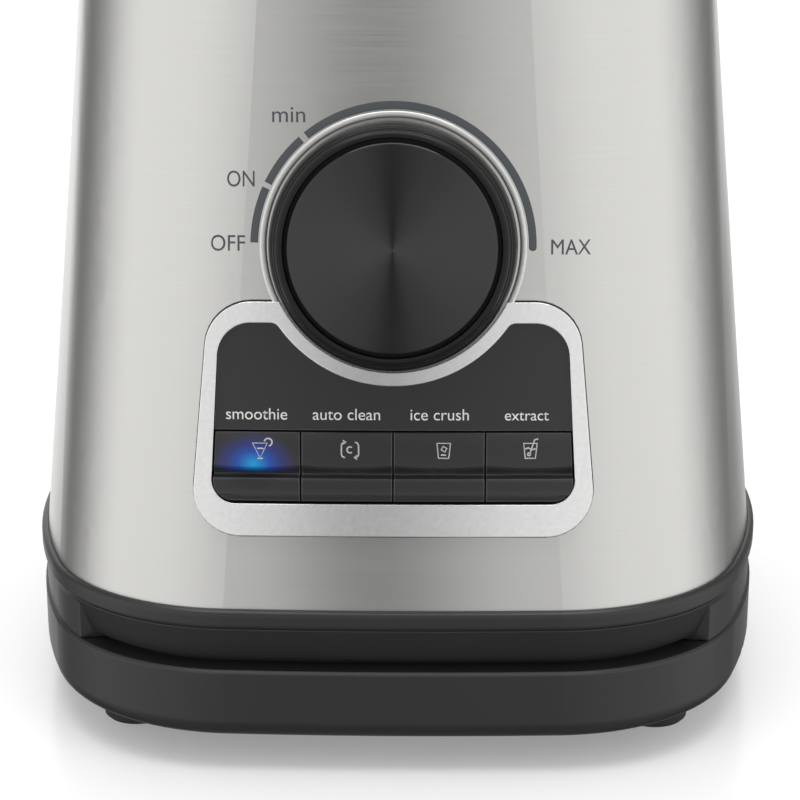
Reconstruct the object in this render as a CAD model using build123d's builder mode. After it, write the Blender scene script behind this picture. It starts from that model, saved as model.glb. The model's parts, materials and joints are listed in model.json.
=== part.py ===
"""Countertop blender: a tapered motor base with a speed knob and four program keys, and a lift-off jug.

Frame: +Z up, millimetres. The origin is on the drive axis, in the plane of the feet. The front faces -Y.
"""

import os
from math import atan2, cos, hypot, pi, radians, sin, sqrt, tan

from build123d import *

os.makedirs("parts", exist_ok=True)


# ---------------------------------------------------------------- driving dimensions
base_half = 100.0  # half width and half depth of the shell at its foot
front_bow = 900.0  # radius of the nearly flat front and back
side_bow = 190.0  # radius of the fuller sides
corner_bow = 52.0
shell_foot = 43.6
shell_top = 205.0
shell_wall = 0.8
side_taper = 5.7  # degrees from upright
front_taper = 8.5

# lower stack, bottom to top
pan_foot = 8.8
pan_floor = 3.0
pan_top = 27.6
pan_grow = 1.5
pan_round = 5.0
neck_grow = -5.6
skirt_low = 30.0
cheek_start = 84.0  # where the sides end on the corners, and the set-back front begins
trim_low = 38.7
trim_top = 43.7
trim_grow = 1.9
shell_seat = 41.8

# front panel, on the leaning front face: x across, s up the face from the shell's foot
knob_s = 90.3
knob_radius = 30.0
strip_radius = 34.0  # outside of the bezel strip that runs under the knob
knob_hole = 30.7
key_pitch = 22.6
key_gap = 0.5
key_low = 27.3
key_top = 45.0
bezel_rise = 1.6
backing_face = -3.2
backing_rear = -4.7
board_face = -10.5
board_rear = -12.1

# motor, on the drive axis
stack_low = 78.0
stack_top = 122.0
bore_radius = 25.0
armature_radius = 24.3
shaft_radius = 5.0
post_x = 56.0
post_y = 52.0
post_radius = 5.5

# deck and jug seat
deck_top = 209.0
pedestal_side = 106.0
pedestal_top = 219.0
pad_top = 222.0
spline_teeth = 12

# jug
jug_top = 430.0
jug_low_side = 104.0
jug_top_side = 138.0
jug_low_round = 26.0
jug_top_round = 36.0
jug_wall = 3.0
jug_floor = 5.0
neck_radius = 18.0
blade_shaft_radius = 4.0
lid_top = 441.0
filler_radius = 27.0


# ---------------------------------------------------------------- planes
face = Plane(
    origin=(0, -base_half, shell_foot),
    x_dir=(1, 0, 0),
    z_dir=(0, -cos(radians(front_taper)), sin(radians(front_taper))),
)
back_face = Plane(
    origin=(0, base_half, shell_foot),
    x_dir=(-1, 0, 0),
    z_dir=(0, cos(radians(front_taper)), sin(radians(front_taper))),
)


def face_at(x, s, height=0.0):
    """The face plane moved to a point on the panel, at a height over it."""
    return Plane(face.from_local_coords((x, s, height)), x_dir=face.x_dir, z_dir=face.z_dir)


def back_at(x, s, height=0.0):
    """The back face plane moved to a point on it."""
    return Plane(back_face.from_local_coords((x, s, height)), x_dir=back_face.x_dir, z_dir=back_face.z_dir)


def save(part, label):
    """Labels a finished piece and writes its file."""
    part.label = label
    export_step(part, f"parts/{label}.step")


# ---------------------------------------------------------------- shared shapes
def bowed_square(half_width, half_depth, grow=0.0):
    """The base's plan: four bowed sides joined by round corners, all tangent."""
    width, depth = half_width + grow, half_depth + grow
    front, side, corner = front_bow + grow, side_bow + grow, corner_bow + grow
    front_centre = (0.0, front - depth)
    side_centre = (width - side, 0.0)
    to_front, to_side = front - corner, side - corner
    run_x, run_y = side_centre[0] - front_centre[0], side_centre[1] - front_centre[1]
    span = hypot(run_x, run_y)
    along = (to_front**2 - to_side**2 + span**2) / (2 * span)
    across = sqrt(to_front**2 - along**2)
    corner_x = front_centre[0] + (run_x * along - run_y * across) / span
    corner_y = front_centre[1] + (run_y * along + run_x * across) / span
    if corner_y > 0:
        corner_x = front_centre[0] + (run_x * along + run_y * across) / span
        corner_y = front_centre[1] + (run_y * along - run_x * across) / span
    front_angle = atan2(corner_y - front_centre[1], corner_x - front_centre[0])
    side_angle = atan2(corner_y - side_centre[1], corner_x - side_centre[0])
    middle = (front_angle + side_angle) / 2
    front_end = (front_centre[0] + front * cos(front_angle), front_centre[1] + front * sin(front_angle))
    side_end = (side_centre[0] + side * cos(side_angle), side_centre[1] + side * sin(side_angle))
    corner_mid = (corner_x + corner * cos(middle), corner_y + corner * sin(middle))

    def flip(point, x_sign, y_sign):
        return (point[0] * x_sign, point[1] * y_sign)

    with BuildSketch() as plan:
        with BuildLine():
            ThreePointArc(flip(front_end, -1, 1), (0, -depth), front_end)
            ThreePointArc(front_end, corner_mid, side_end)
            ThreePointArc(side_end, (width, 0), flip(side_end, 1, -1))
            ThreePointArc(flip(side_end, 1, -1), flip(corner_mid, 1, -1), flip(front_end, 1, -1))
            ThreePointArc(flip(front_end, 1, -1), (0, depth), flip(front_end, -1, -1))
            ThreePointArc(flip(front_end, -1, -1), flip(corner_mid, -1, -1), flip(side_end, -1, -1))
            ThreePointArc(flip(side_end, -1, -1), (-width, 0), flip(side_end, -1, 1))
            ThreePointArc(flip(side_end, -1, 1), flip(corner_mid, -1, 1), flip(front_end, -1, 1))
        make_face()
    return plan.sketch


def half_width(z):
    return base_half - (z - shell_foot) * tan(radians(side_taper))


def half_depth(z):
    return base_half - (z - shell_foot) * tan(radians(front_taper))


def upright_block(low, high, grow):
    """A straight block on the base's foot plan."""
    with BuildPart() as block:
        with BuildSketch(Plane.XY.offset(low)):
            add(bowed_square(base_half, base_half, grow))
        extrude(amount=high - low)
    return block.part


def tapered_block(low, high, grow):
    """A block that follows the shell's taper."""
    with BuildPart() as block:
        for z in (low, high):
            with BuildSketch(Plane.XY.offset(z)):
                add(bowed_square(half_width(z), half_depth(z), grow))
        loft(ruled=True)
    return block.part


def rounded_loft(low, low_side, low_round, high, high_side, high_round):
    """A block between two rounded squares."""
    with BuildPart() as block:
        with BuildSketch(Plane.XY.offset(low)):
            RectangleRounded(low_side, low_side, low_round)
        with BuildSketch(Plane.XY.offset(high)):
            RectangleRounded(high_side, high_side, high_round)
        loft(ruled=True)
    return block.part


def tube(inner, outer, low, high):
    """A plain ring on the drive axis."""
    with BuildPart() as ring:
        with BuildSketch(Plane.XY.offset(low)):
            Circle(outer)
            Circle(inner, mode=Mode.SUBTRACT)
        extrude(amount=high - low)
    return ring.part


def front_skin(low, high):
    """The layer between two heights over the bowed front face."""
    reach, run = 64.0, 140.0
    section = Plane(face.from_local_coords((0, -5, 0)), x_dir=(1, 0, 0), z_dir=face.y_dir)
    with BuildPart() as skin:
        with BuildSketch(section):
            Rectangle(2 * reach, 60)
            with Locations((0, front_bow)):
                Circle(front_bow + high, mode=Mode.INTERSECT)
                Circle(front_bow + low, mode=Mode.SUBTRACT)
        extrude(amount=run)
    return skin.part


def skin_piece(outline, low, high):
    """A layer of the front skin cut to an outline that is drawn on the face plane."""
    with BuildPart() as piece:
        add(front_skin(low, high))
        extrude(outline, amount=25, both=True, mode=Mode.INTERSECT)
    return piece.part


def tapered_panel(low, high, low_half, high_half, low_round, high_round):
    """A rounded panel outline on the face, a little narrower at the top."""
    with BuildSketch(face) as outline:
        with BuildLine():
            Polyline((-low_half, low), (low_half, low), (high_half, high), (-high_half, high), close=True)
        make_face()
        corners = outline.vertices().sort_by(Axis.Y)
        fillet(corners[:2], low_round)
        corners = outline.vertices().sort_by(Axis.Y)
        fillet(corners[-2:], high_round)
    return outline.sketch_local


# ---------------------------------------------------------------- base pan and feet
foot_x, foot_y, foot_radius, stem_radius = 69.0, 64.0, 10.0, 6.0
foot_spots = [(x, y) for x in (-foot_x, foot_x) for y in (-foot_y, foot_y)]
post_spots = [(x, y) for x in (-post_x, post_x) for y in (-post_y, post_y)]

with BuildPart() as pan_outer:
    add(upright_block(pan_foot, pan_top, pan_grow))
    fillet(pan_outer.faces().sort_by(Axis.Z)[0].edges(), pan_round)
    chamfer(pan_outer.faces().sort_by(Axis.Z)[-1].edges(), 0.7)

pan_pocket = upright_block(pan_foot + pan_floor, pan_top - 4.0, pan_grow - 6.5)
pan_mouth = upright_block(pan_top - 4.2, pan_top + 1.0, neck_grow + 0.3)
with BuildPart() as base_pan:
    add(pan_outer.part)
    add(pan_pocket, mode=Mode.SUBTRACT)
    add(pan_mouth, mode=Mode.SUBTRACT)
    with BuildSketch(Plane.XY.offset(pan_foot + pan_floor - 0.5)):
        with Locations(*post_spots):
            Circle(post_radius)
    extrude(amount=5.5)
    with BuildSketch(Plane.XY.offset(pan_foot - 1.0)):
        with PolarLocations(30, 24):
            SlotOverall(22, 3.2)
        with Locations(*foot_spots):
            Circle(stem_radius)
    extrude(amount=8.0, mode=Mode.SUBTRACT)
    with Locations(*[(x, y, pan_foot) for x, y in post_spots]):
        with Locations(Rotation(180, 0, 0)):
            CounterBoreHole(2.2, 4.2, 4.0, depth=20)
save(base_pan.part, "base_pan")

with BuildPart() as rubber_feet:
    for x, y in foot_spots:
        with BuildSketch(Plane((x, y, 0), x_dir=(1, 0, 0), z_dir=(0, -1, 0))):
            with BuildLine():
                Polyline(
                    (0, 0), (foot_radius - 1.6, 0), (foot_radius - 0.8, 0.8), (foot_radius, pan_foot),
                    (stem_radius, pan_foot), (stem_radius, pan_foot + pan_floor),
                    (stem_radius + 1.0, pan_foot + pan_floor), (stem_radius - 0.6, pan_foot + pan_floor + 2.4),
                    (0, pan_foot + pan_floor + 2.4), close=True,
                )
            make_face()
        revolve(axis=Axis((x, y, 0), (0, 0, 1)))
save(rubber_feet.part, "rubber_feet")

with BuildPart() as base_screws:
    with BuildSketch(Plane.XY.offset(pan_foot + 1.6)):
        with Locations(*post_spots):
            Circle(3.8)
    extrude(amount=2.4)
    with BuildSketch(Plane.XY.offset(pan_foot + 1.6)):
        with Locations(*post_spots):
            RegularPolygon(1.6, 6)
    extrude(amount=1.4, mode=Mode.SUBTRACT)
    with BuildSketch(Plane.XY.offset(pan_foot + 4.0)):
        with Locations(*post_spots):
            Circle(1.8)
    extrude(amount=15.0)
save(base_screws.part, "base_screws")


# ---------------------------------------------------------------- lower housing, trim ring and shell
post_top = pan_foot + pan_floor + 5.0
fan_opening = 48.0

# the housing's front and back are set back over the pan, but its sides come down to meet it
with BuildPart() as cheeks:
    add(upright_block(pan_top + 0.2, trim_low, 0.8))
    add(upright_block(pan_top - 1.0, trim_low + 1.0, -8.0), mode=Mode.SUBTRACT)
    with BuildSketch():
        with BuildLine():
            Polyline(
                (-110, -83.7), (-cheek_start, -80.0), (-60, -76.6), (60, -76.6), (cheek_start, -80.0),
                (110, -83.7), (110, -120), (-110, -120), close=True,
            )
        make_face()
        mirror(about=Plane.XZ)
    extrude(amount=60, mode=Mode.SUBTRACT)

with BuildPart() as lower_housing:
    add(upright_block(pan_top - 4.0, skirt_low + 0.5, neck_grow))
    for z, grow in ((skirt_low, -1.8), (trim_low, 1.2)):
        with BuildSketch(Plane.XY.offset(z)):
            add(bowed_square(base_half, base_half, grow))
    loft(ruled=True)
    add(upright_block(pan_top - 5.0, skirt_low, neck_grow - 3.0), mode=Mode.SUBTRACT)
    add(cheeks.part)
    add(upright_block(skirt_low + 3.0, trim_low + 1.0, -8.0), mode=Mode.SUBTRACT)
    with BuildSketch(Plane.XY.offset(post_top)):
        with Locations(*post_spots):
            Circle(post_radius)
    extrude(amount=skirt_low + 1.0 - post_top)
    with BuildSketch(Plane.XY.offset(post_top)):
        with Locations(*post_spots):
            Circle(1.8)
    extrude(amount=12.0, mode=Mode.SUBTRACT)
    with BuildSketch(Plane.XY.offset(skirt_low - 1.0)):
        Circle(fan_opening)
    extrude(amount=5.0, mode=Mode.SUBTRACT)
save(lower_housing.part, "lower_housing")

with BuildPart() as trim_outer:
    add(upright_block(trim_low, trim_top, trim_grow))
    fillet(trim_outer.faces().sort_by(Axis.Z)[0].edges(), 1.3)
    fillet(trim_outer.faces().sort_by(Axis.Z)[-1].edges(), 1.5)
with BuildPart() as trim_ring:
    add(trim_outer.part)
    add(upright_block(trim_low - 1.0, trim_top + 1.0, -6.0), mode=Mode.SUBTRACT)
    add(tapered_block(shell_seat, trim_top + 1.0, 0.05), mode=Mode.SUBTRACT)
save(trim_ring.part, "trim_ring")

inlet_x, inlet_s, inlet_width, inlet_height = 42.0, 30.0, 31.0, 24.0
vent_s, vent_width, vent_height = 84.0, 74.0, 44.0

panel_inner = tapered_panel(27.05, 71.65, 44.9, 42.5, 6.0, 8.5)
panel_outer = tapered_panel(19.0, 76.75, 50.1, 44.9, 11.5, 11.5)


def panel_shape(outline, grow=0.0, cut_radius=0.0, tip_round=0.0):
    """A panel outline, grown, with the knob's circle cut from its top and the two tips rounded."""
    with BuildSketch(face) as shape:
        add(outline)
        if grow:
            offset(amount=grow)
        if cut_radius:
            with Locations((0, knob_s)):
                Circle(cut_radius, mode=Mode.SUBTRACT)
        if tip_round:
            fillet([corner for corner in shape.vertices() if abs(corner.X) < cut_radius], tip_round)
    return shape


with BuildPart() as steel_shell:
    add(tapered_block(shell_seat, shell_top, 0.0))
    add(tapered_block(shell_seat - 1.0, shell_top + 1.0, -shell_wall), mode=Mode.SUBTRACT)
    extrude(panel_shape(panel_inner, 0.4, strip_radius - 0.4).sketch, amount=6, both=True, mode=Mode.SUBTRACT)
    with BuildSketch(face_at(0, knob_s)):
        Circle(4.6)
    extrude(amount=6, both=True, mode=Mode.SUBTRACT)
    with BuildSketch(back_at(inlet_x, inlet_s)):
        RectangleRounded(inlet_width - 3.0, inlet_height - 3.0, 2.0)
    extrude(amount=6, both=True, mode=Mode.SUBTRACT)
    with BuildSketch(back_at(0, vent_s)):
        RectangleRounded(vent_width, vent_height, 5.0)
    extrude(amount=6, both=True, mode=Mode.SUBTRACT)
save(steel_shell.part, "steel_shell")

with BuildPart() as vent_grille:
    with BuildSketch(back_at(0, vent_s, -3.6)):
        RectangleRounded(vent_width - 0.4, vent_height - 0.4, 4.8)
    extrude(amount=2.6)
    with BuildSketch(back_at(0, vent_s, -5.6)):
        RectangleRounded(vent_width + 6.0, vent_height + 6.0, 7.0)
    extrude(amount=2.0)
    with BuildSketch(back_at(0, vent_s, -6.0)):
        with GridLocations(9.0, 19.0, 8, 2):
            SlotOverall(16.0, 4.0, rotation=90)
    extrude(amount=8.0, mode=Mode.SUBTRACT)
save(vent_grille.part, "vent_grille")

with BuildPart() as power_inlet:
    with BuildSketch(back_at(inlet_x, inlet_s, 0.0)):
        RectangleRounded(inlet_width, inlet_height, 3.0)
    extrude(amount=1.8)
    with BuildSketch(back_at(inlet_x, inlet_s, -20.0)):
        RectangleRounded(inlet_width - 3.4, inlet_height - 3.4, 1.8)
    extrude(amount=20.0)
    with BuildSketch(back_at(inlet_x, inlet_s, -16.0)):
        RectangleRounded(24.2, 16.6, 2.0)
    extrude(amount=20.0, mode=Mode.SUBTRACT)
save(power_inlet.part, "power_inlet")

with BuildPart() as inlet_pins:
    with BuildSketch(back_at(inlet_x, inlet_s, -16.0)):
        with Locations((-7.0, -1.8), (0, 2.2), (7.0, -1.8)):
            Rectangle(2.0, 4.0)
    extrude(amount=10.0)
save(inlet_pins.part, "inlet_pins")


# ---------------------------------------------------------------- deck and jug seat
with BuildPart() as top_deck:
    add(tapered_block(shell_top, deck_top, 0.0))
    fillet(top_deck.faces().sort_by(Axis.Z)[-1].edges(), 2.5)
    add(tapered_block(shell_top - 4.0, shell_top + 0.5, -shell_wall - 0.1))
    add(tapered_block(shell_top - 5.0, shell_top + 0.8, -shell_wall - 3.0), mode=Mode.SUBTRACT)
    with BuildSketch(Plane.XY.offset(deck_top - 0.5)):
        RectangleRounded(pedestal_side, pedestal_side, 28.0)
    extrude(amount=pedestal_top - deck_top + 0.5)
    with BuildSketch(Plane.XY.offset(deck_top + 0.5)):
        Circle(18.0)
    extrude(amount=20.0, mode=Mode.SUBTRACT)
    with BuildSketch(Plane.XY.offset(shell_top - 5.0)):
        Circle(9.0)
    extrude(amount=20.0, mode=Mode.SUBTRACT)
save(top_deck.part, "top_deck")

with BuildPart() as jug_pad:
    with BuildSketch(Plane.XY.offset(pedestal_top)):
        RectangleRounded(pedestal_side - 2.0, pedestal_side - 2.0, 27.0)
        Circle(22.0, mode=Mode.SUBTRACT)
    extrude(amount=pad_top - pedestal_top)
    fillet(jug_pad.faces().sort_by(Axis.Z)[-1].edges(), 1.0)
save(jug_pad.part, "jug_pad")

save(tube(shaft_radius + 0.05, 9.0, shell_top + 0.8, deck_top + 0.5), "shaft_seal")


# ---------------------------------------------------------------- front panel
with BuildPart() as panel_bezel:
    add(skin_piece(panel_shape(panel_outer, 0.0, knob_hole).sketch, -3.0, bezel_rise))
    add(tapered_block(shell_seat, shell_top, 0.02), mode=Mode.SUBTRACT)
    extrude(panel_shape(panel_inner, 0.0, strip_radius, 2.6).sketch, amount=12, both=True, mode=Mode.SUBTRACT)
save(panel_bezel.part, "panel_bezel")

key_centres = [(index - 1.5) * key_pitch for index in range(4)]
plunger_s, guide_s = 34.0, 40.0

with BuildSketch(face) as plate_outline:
    add(panel_shape(panel_inner, -0.15, strip_radius + 0.15, 2.45).sketch_local)
    with Locations((0, 27.0)):
        Rectangle(120, 2 * (key_top + 0.3 - 27.0), mode=Mode.SUBTRACT)

with BuildPart() as panel_plate:
    add(skin_piece(plate_outline.sketch, backing_face - 0.2, 0.6))
    add(skin_piece(panel_shape(panel_inner, 2.6, strip_radius + 0.15).sketch, backing_rear, backing_face))
    for x in (-key_pitch, 0.0, key_pitch):
        for s in (31.0, 50.0):
            with BuildSketch(face_at(x, s, board_face)):
                Circle(2.4)
            extrude(amount=backing_rear + 0.5 - board_face)
    for x in key_centres:
        with BuildSketch(face_at(x, 0, board_face)):
            with Locations((0, plunger_s)):
                Circle(2.6)
            with Locations((0, guide_s)):
                Circle(2.0)
        extrude(amount=9.0, mode=Mode.SUBTRACT)
save(panel_plate.part, "panel_plate")

key_names = ("smoothie_key", "clean_key", "ice_key", "extract_key")
for key_name, centre in zip(key_names, key_centres):
    with BuildSketch(face) as key_outline:
        add(panel_shape(panel_inner, -0.35).sketch_local)
        with Locations((centre, (key_low + key_top) / 2)):
            Rectangle(key_pitch - key_gap, key_top - key_low, mode=Mode.INTERSECT)
    with BuildSketch(face) as ridge_outline:
        add(key_outline.sketch_local)
        with Locations((centre, 30.4)):
            Rectangle(key_pitch, 6.2, mode=Mode.INTERSECT)
    with BuildPart() as key:
        add(skin_piece(key_outline.sketch, -1.4, 0.8))
        add(skin_piece(ridge_outline.sketch, -1.4, 1.9))
        with BuildSketch(face_at(centre, plunger_s, -6.5)):
            Circle(2.2)
        extrude(amount=5.0)
    save(key.part, key_name)

with BuildPart() as light_guides:
    for x in key_centres:
        with BuildSketch(face_at(x, guide_s, -7.8)):
            Circle(2.0)
        extrude(amount=7.8 - 4.1)
save(light_guides.part, "light_guides")

with BuildPart() as switch_board:
    with BuildSketch(face_at(0, 40.0, board_rear)):
        RectangleRounded(86.0, 28.0, 2.0)
    extrude(amount=board_face - board_rear)
save(switch_board.part, "switch_board")

with BuildPart() as tact_switches:
    for x in key_centres:
        with BuildSketch(face_at(x, plunger_s, board_face)):
            Rectangle(6.0, 6.0)
        extrude(amount=1.5)
        with BuildSketch(face_at(x, plunger_s, board_face)):
            Circle(1.7)
        extrude(amount=2.2)
save(tact_switches.part, "tact_switches")

with BuildPart() as status_leds:
    for x in key_centres:
        with BuildSketch(face_at(x, guide_s, board_face)):
            Rectangle(3.4, 2.8)
        extrude(amount=2.0)
save(status_leds.part, "status_leds")


# ---------------------------------------------------------------- knob and its encoder
knob_plane = Plane(face_at(0, knob_s).origin, x_dir=(1, 0, 0), z_dir=-face.y_dir)
knob_axis = Axis(knob_plane.origin, face.z_dir)
knob_shaft_radius = 3.0
encoder_rear = -14.0

with BuildPart() as knob_body:
    with BuildSketch(knob_plane):
        with BuildLine():
            Polyline(
                (knob_shaft_radius, 1.6), (8.0, 1.6), (8.0, 8.5), (25.0, 8.5), (27.4, 0.6), (knob_radius, 0.6),
                (knob_radius, 4.0), (29.7, 4.5), (29.7, 8.0), (29.2, 8.5), (29.2, 11.0), (28.5, 11.5), (28.5, 13.0),
                (27.9, 13.5), (27.5, 14.4), (26.7, 14.7), (26.3, 14.2), (26.3, 11.0),
                (knob_shaft_radius, 11.0),
                close=True,
            )
        make_face()
    revolve(axis=knob_axis)
save(knob_body.part, "knob_body")

with BuildPart() as knob_disc:
    with BuildSketch(face_at(0, knob_s, 11.0)):
        Circle(24.9)
    extrude(amount=3.8)
    chamfer(knob_disc.faces().sort_by(Axis(knob_plane.origin, face.z_dir))[-1].edges(), 0.4)
save(knob_disc.part, "knob_disc")

with BuildPart() as knob_shaft:
    with BuildSketch(face_at(0, knob_s, encoder_rear + 2.5)):
        Circle(knob_shaft_radius)
    extrude(amount=11.0 - encoder_rear - 2.5)
save(knob_shaft.part, "knob_shaft")

with BuildPart() as speed_encoder:
    with BuildSketch(face_at(0, knob_s, encoder_rear)):
        RectangleRounded(20.0, 20.0, 2.0)
    extrude(amount=9.0)
    with BuildSketch(face_at(0, knob_s, encoder_rear)):
        Circle(9.0)
    extrude(amount=-1.2 - encoder_rear)
    with BuildSketch(face_at(0, knob_s, encoder_rear)):
        Circle(4.5)
    extrude(amount=0.9 - encoder_rear)
    with BuildSketch(face_at(0, knob_s, encoder_rear + 2.0)):
        Circle(knob_shaft_radius + 0.05)
    extrude(amount=20.0, mode=Mode.SUBTRACT)
save(speed_encoder.part, "speed_encoder")


# ---------------------------------------------------------------- motor
bolt_spots = [(x, y) for x in (-35.0, 35.0) for y in (-35.0, 35.0)]
bolt_radius, column_radius = 2.0, 5.0
stator_side = 84.0
bracket_low, bracket_high, bracket_wall = 46.0, 138.0, 4.0
bearing_radius = 11.0
floor_top = skirt_low + 3.0
carrier_low, carrier_top = 152.0, 156.0

with BuildPart() as field_coils:
    for side in (-1, 1):
        with BuildSketch(Plane.YZ.offset(side * 29.5)):
            with Locations((0, (stack_low + stack_top) / 2)):
                RectangleRounded(48.0, 68.0, 11.0)
                RectangleRounded(30.0, 50.0, 3.0, mode=Mode.SUBTRACT)
        extrude(amount=3.5, both=True)
save(field_coils.part, "field_coils")

with BuildPart() as stator_core:
    with BuildSketch(Plane.XY.offset(stack_low)):
        RectangleRounded(stator_side, stator_side, 8.0)
        Circle(bore_radius, mode=Mode.SUBTRACT)
        with Locations(*bolt_spots):
            Circle(bolt_radius, mode=Mode.SUBTRACT)
        with GridLocations(59.0, 39.0, 2, 2):
            Rectangle(7.4, 9.6, mode=Mode.SUBTRACT)
    extrude(amount=stack_top - stack_low)
save(stator_core.part, "stator_core")

with BuildPart() as lower_bracket:
    with BuildSketch(Plane.XY.offset(bracket_low)):
        RectangleRounded(stator_side, stator_side, 8.0)
        with Locations((0, 28.0), (0, -28.0)):
            Circle(11.0, mode=Mode.SUBTRACT)
    extrude(amount=bracket_wall)
    with BuildSketch(Plane.XY.offset(bracket_low - 1.5)):
        Circle(bearing_radius + 3.0)
    extrude(amount=3.0)
    with BuildSketch(Plane.XY.offset(bracket_low)):
        with Locations(*bolt_spots):
            Circle(column_radius)
    extrude(amount=stack_low - bracket_low)
    with BuildSketch(Plane.XY.offset(bracket_low - 2.0)):
        Circle(bearing_radius)
        with Locations(*bolt_spots):
            Circle(bolt_radius)
    extrude(amount=stack_low, mode=Mode.SUBTRACT)
save(lower_bracket.part, "lower_bracket")

with BuildPart() as upper_bracket:
    with BuildSketch(Plane.XY.offset(bracket_high)):
        RectangleRounded(stator_side, stator_side, 8.0)
        with Locations((0, 28.0), (0, -28.0), (28.0, 0), (-28.0, 0)):
            Circle(9.0, mode=Mode.SUBTRACT)
    extrude(amount=bracket_wall)
    with BuildSketch(Plane.XY.offset(bracket_high)):
        Circle(bearing_radius + 3.0)
    extrude(amount=bracket_wall + 3.0)
    with BuildSketch(Plane.XY.offset(stack_top)):
        with Locations(*bolt_spots):
            Circle(column_radius)
    extrude(amount=bracket_high - stack_top + 1.0)
    with BuildSketch(Plane.XY.offset(stack_top - 1.0)):
        Circle(bearing_radius)
        with Locations(*bolt_spots):
            Circle(bolt_radius)
    extrude(amount=40.0, mode=Mode.SUBTRACT)
save(upper_bracket.part, "upper_bracket")

with BuildPart() as motor_bolts:
    with BuildSketch(Plane.XY.offset(bracket_low - 3.0)):
        with Locations(*bolt_spots):
            RegularPolygon(3.8, 6)
    extrude(amount=3.0)
    with BuildSketch(Plane.XY.offset(bracket_low - 1.0)):
        with Locations(*bolt_spots):
            Circle(bolt_radius)
    extrude(amount=carrier_top + 3.0 - bracket_low)
    with BuildSketch(Plane.XY.offset(carrier_top)):
        with Locations(*bolt_spots):
            RegularPolygon(3.8, 6)
    extrude(amount=2.6)
save(motor_bolts.part, "motor_bolts")

with BuildPart() as motor_mounts:
    with BuildSketch(Plane.XY.offset(bracket_high + bracket_wall)):
        with Locations(*bolt_spots):
            Circle(6.5)
            Circle(bolt_radius, mode=Mode.SUBTRACT)
    extrude(amount=carrier_low - bracket_high - bracket_wall)
save(motor_mounts.part, "motor_mounts")

with BuildPart() as motor_carrier:
    with BuildSketch(Plane.XY.offset(carrier_low)):
        RectangleRounded(2 * post_x + 14.0, 2 * post_y + 14.0, 8.0)
        Circle(18.0, mode=Mode.SUBTRACT)
        with Locations(*bolt_spots):
            Circle(bolt_radius, mode=Mode.SUBTRACT)
        with Locations((0, 42.0), (0, -42.0), (44.0, 0), (-44.0, 0)):
            Circle(8.0, mode=Mode.SUBTRACT)
    extrude(amount=carrier_top - carrier_low)
    with BuildSketch(Plane.XY.offset(floor_top)):
        with Locations(*post_spots):
            Circle(post_radius)
    extrude(amount=carrier_low - floor_top + 1.0)
save(motor_carrier.part, "motor_carrier")

bearing_bore = shaft_radius + 0.05
save(tube(bearing_bore, bearing_radius, bracket_low - 1.5, bracket_low + bracket_wall), "lower_bearing")
save(tube(bearing_bore, bearing_radius, bracket_high, bracket_high + bracket_wall + 3.0), "upper_bearing")

shaft_low, shaft_top = 31.5, 216.5
with BuildPart() as motor_shaft:
    with BuildSketch(Plane.XY.offset(shaft_low)):
        Circle(shaft_radius)
    extrude(amount=shaft_top - shaft_low)
save(motor_shaft.part, "motor_shaft")

with BuildPart() as armature_core:
    with BuildSketch(Plane.XY.offset(stack_low)):
        Circle(armature_radius)
        Circle(shaft_radius, mode=Mode.SUBTRACT)
        with PolarLocations(armature_radius - 5.5, 16):
            SlotOverall(9.0, 3.2, mode=Mode.SUBTRACT)
    extrude(amount=stack_top - stack_low)
save(armature_core.part, "armature_core")

with BuildPart() as armature_windings:
    for low in (stack_low - 9.0, stack_top):
        with BuildSketch(Plane.XY.offset(low)):
            Circle(21.0)
            Circle(shaft_radius, mode=Mode.SUBTRACT)
        extrude(amount=9.0)
    for plane in (stack_low - 9.0, stack_top + 9.0):
        rims = armature_windings.edges().filter_by(GeomType.CIRCLE)
        fillet(rims.filter_by(lambda edge: abs(edge.center().Z - plane) < 0.1 and edge.radius > 20), 4.0)
    with BuildSketch(Plane.XY.offset(stack_low - 0.5)):
        with PolarLocations(armature_radius - 5.5, 16):
            SlotOverall(8.4, 2.6)
    extrude(amount=stack_top - stack_low + 1.0)
save(armature_windings.part, "armature_windings")

commutator_low, commutator_top, commutator_radius = 52.0, 67.0, 11.0
save(tube(shaft_radius, commutator_radius, commutator_low, commutator_top), "commutator")

with BuildPart() as carbon_brushes:
    with BuildSketch(Plane.XY.offset(56.0)):
        with Locations((19.0, 0), (-19.0, 0)):
            Rectangle(18.0, 6.0)
        Circle(commutator_radius + 0.06, mode=Mode.SUBTRACT)
    extrude(amount=8.0)
save(carbon_brushes.part, "carbon_brushes")

with BuildPart() as brush_holders:
    with BuildSketch(Plane.XY.offset(bracket_low + bracket_wall)):
        with Locations((25.0, 0), (-25.0, 0)):
            Rectangle(18.0, 11.0)
    extrude(amount=15.5)
    with BuildSketch(Plane.XY.offset(56.0)):
        with Locations((21.0, 0), (-21.0, 0)):
            Rectangle(14.0, 6.0)
    extrude(amount=8.0, mode=Mode.SUBTRACT)
save(brush_holders.part, "brush_holders")

fan_low, fan_top, fan_radius = 32.0, 42.0, 44.0
with BuildPart() as cooling_fan:
    with BuildSketch(Plane.XY.offset(fan_top - 1.6)):
        Circle(fan_radius)
    extrude(amount=1.6)
    with BuildSketch(Plane.XY.offset(fan_low)):
        Circle(10.0)
        with PolarLocations(28.0, 11):
            Rectangle(28.0, 1.6, rotation=25.0)
    extrude(amount=fan_top - fan_low)
    with BuildSketch(Plane.XY.offset(fan_low)):
        Circle(shaft_radius)
    extrude(amount=fan_top - fan_low, mode=Mode.SUBTRACT)
save(cooling_fan.part, "cooling_fan")


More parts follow.
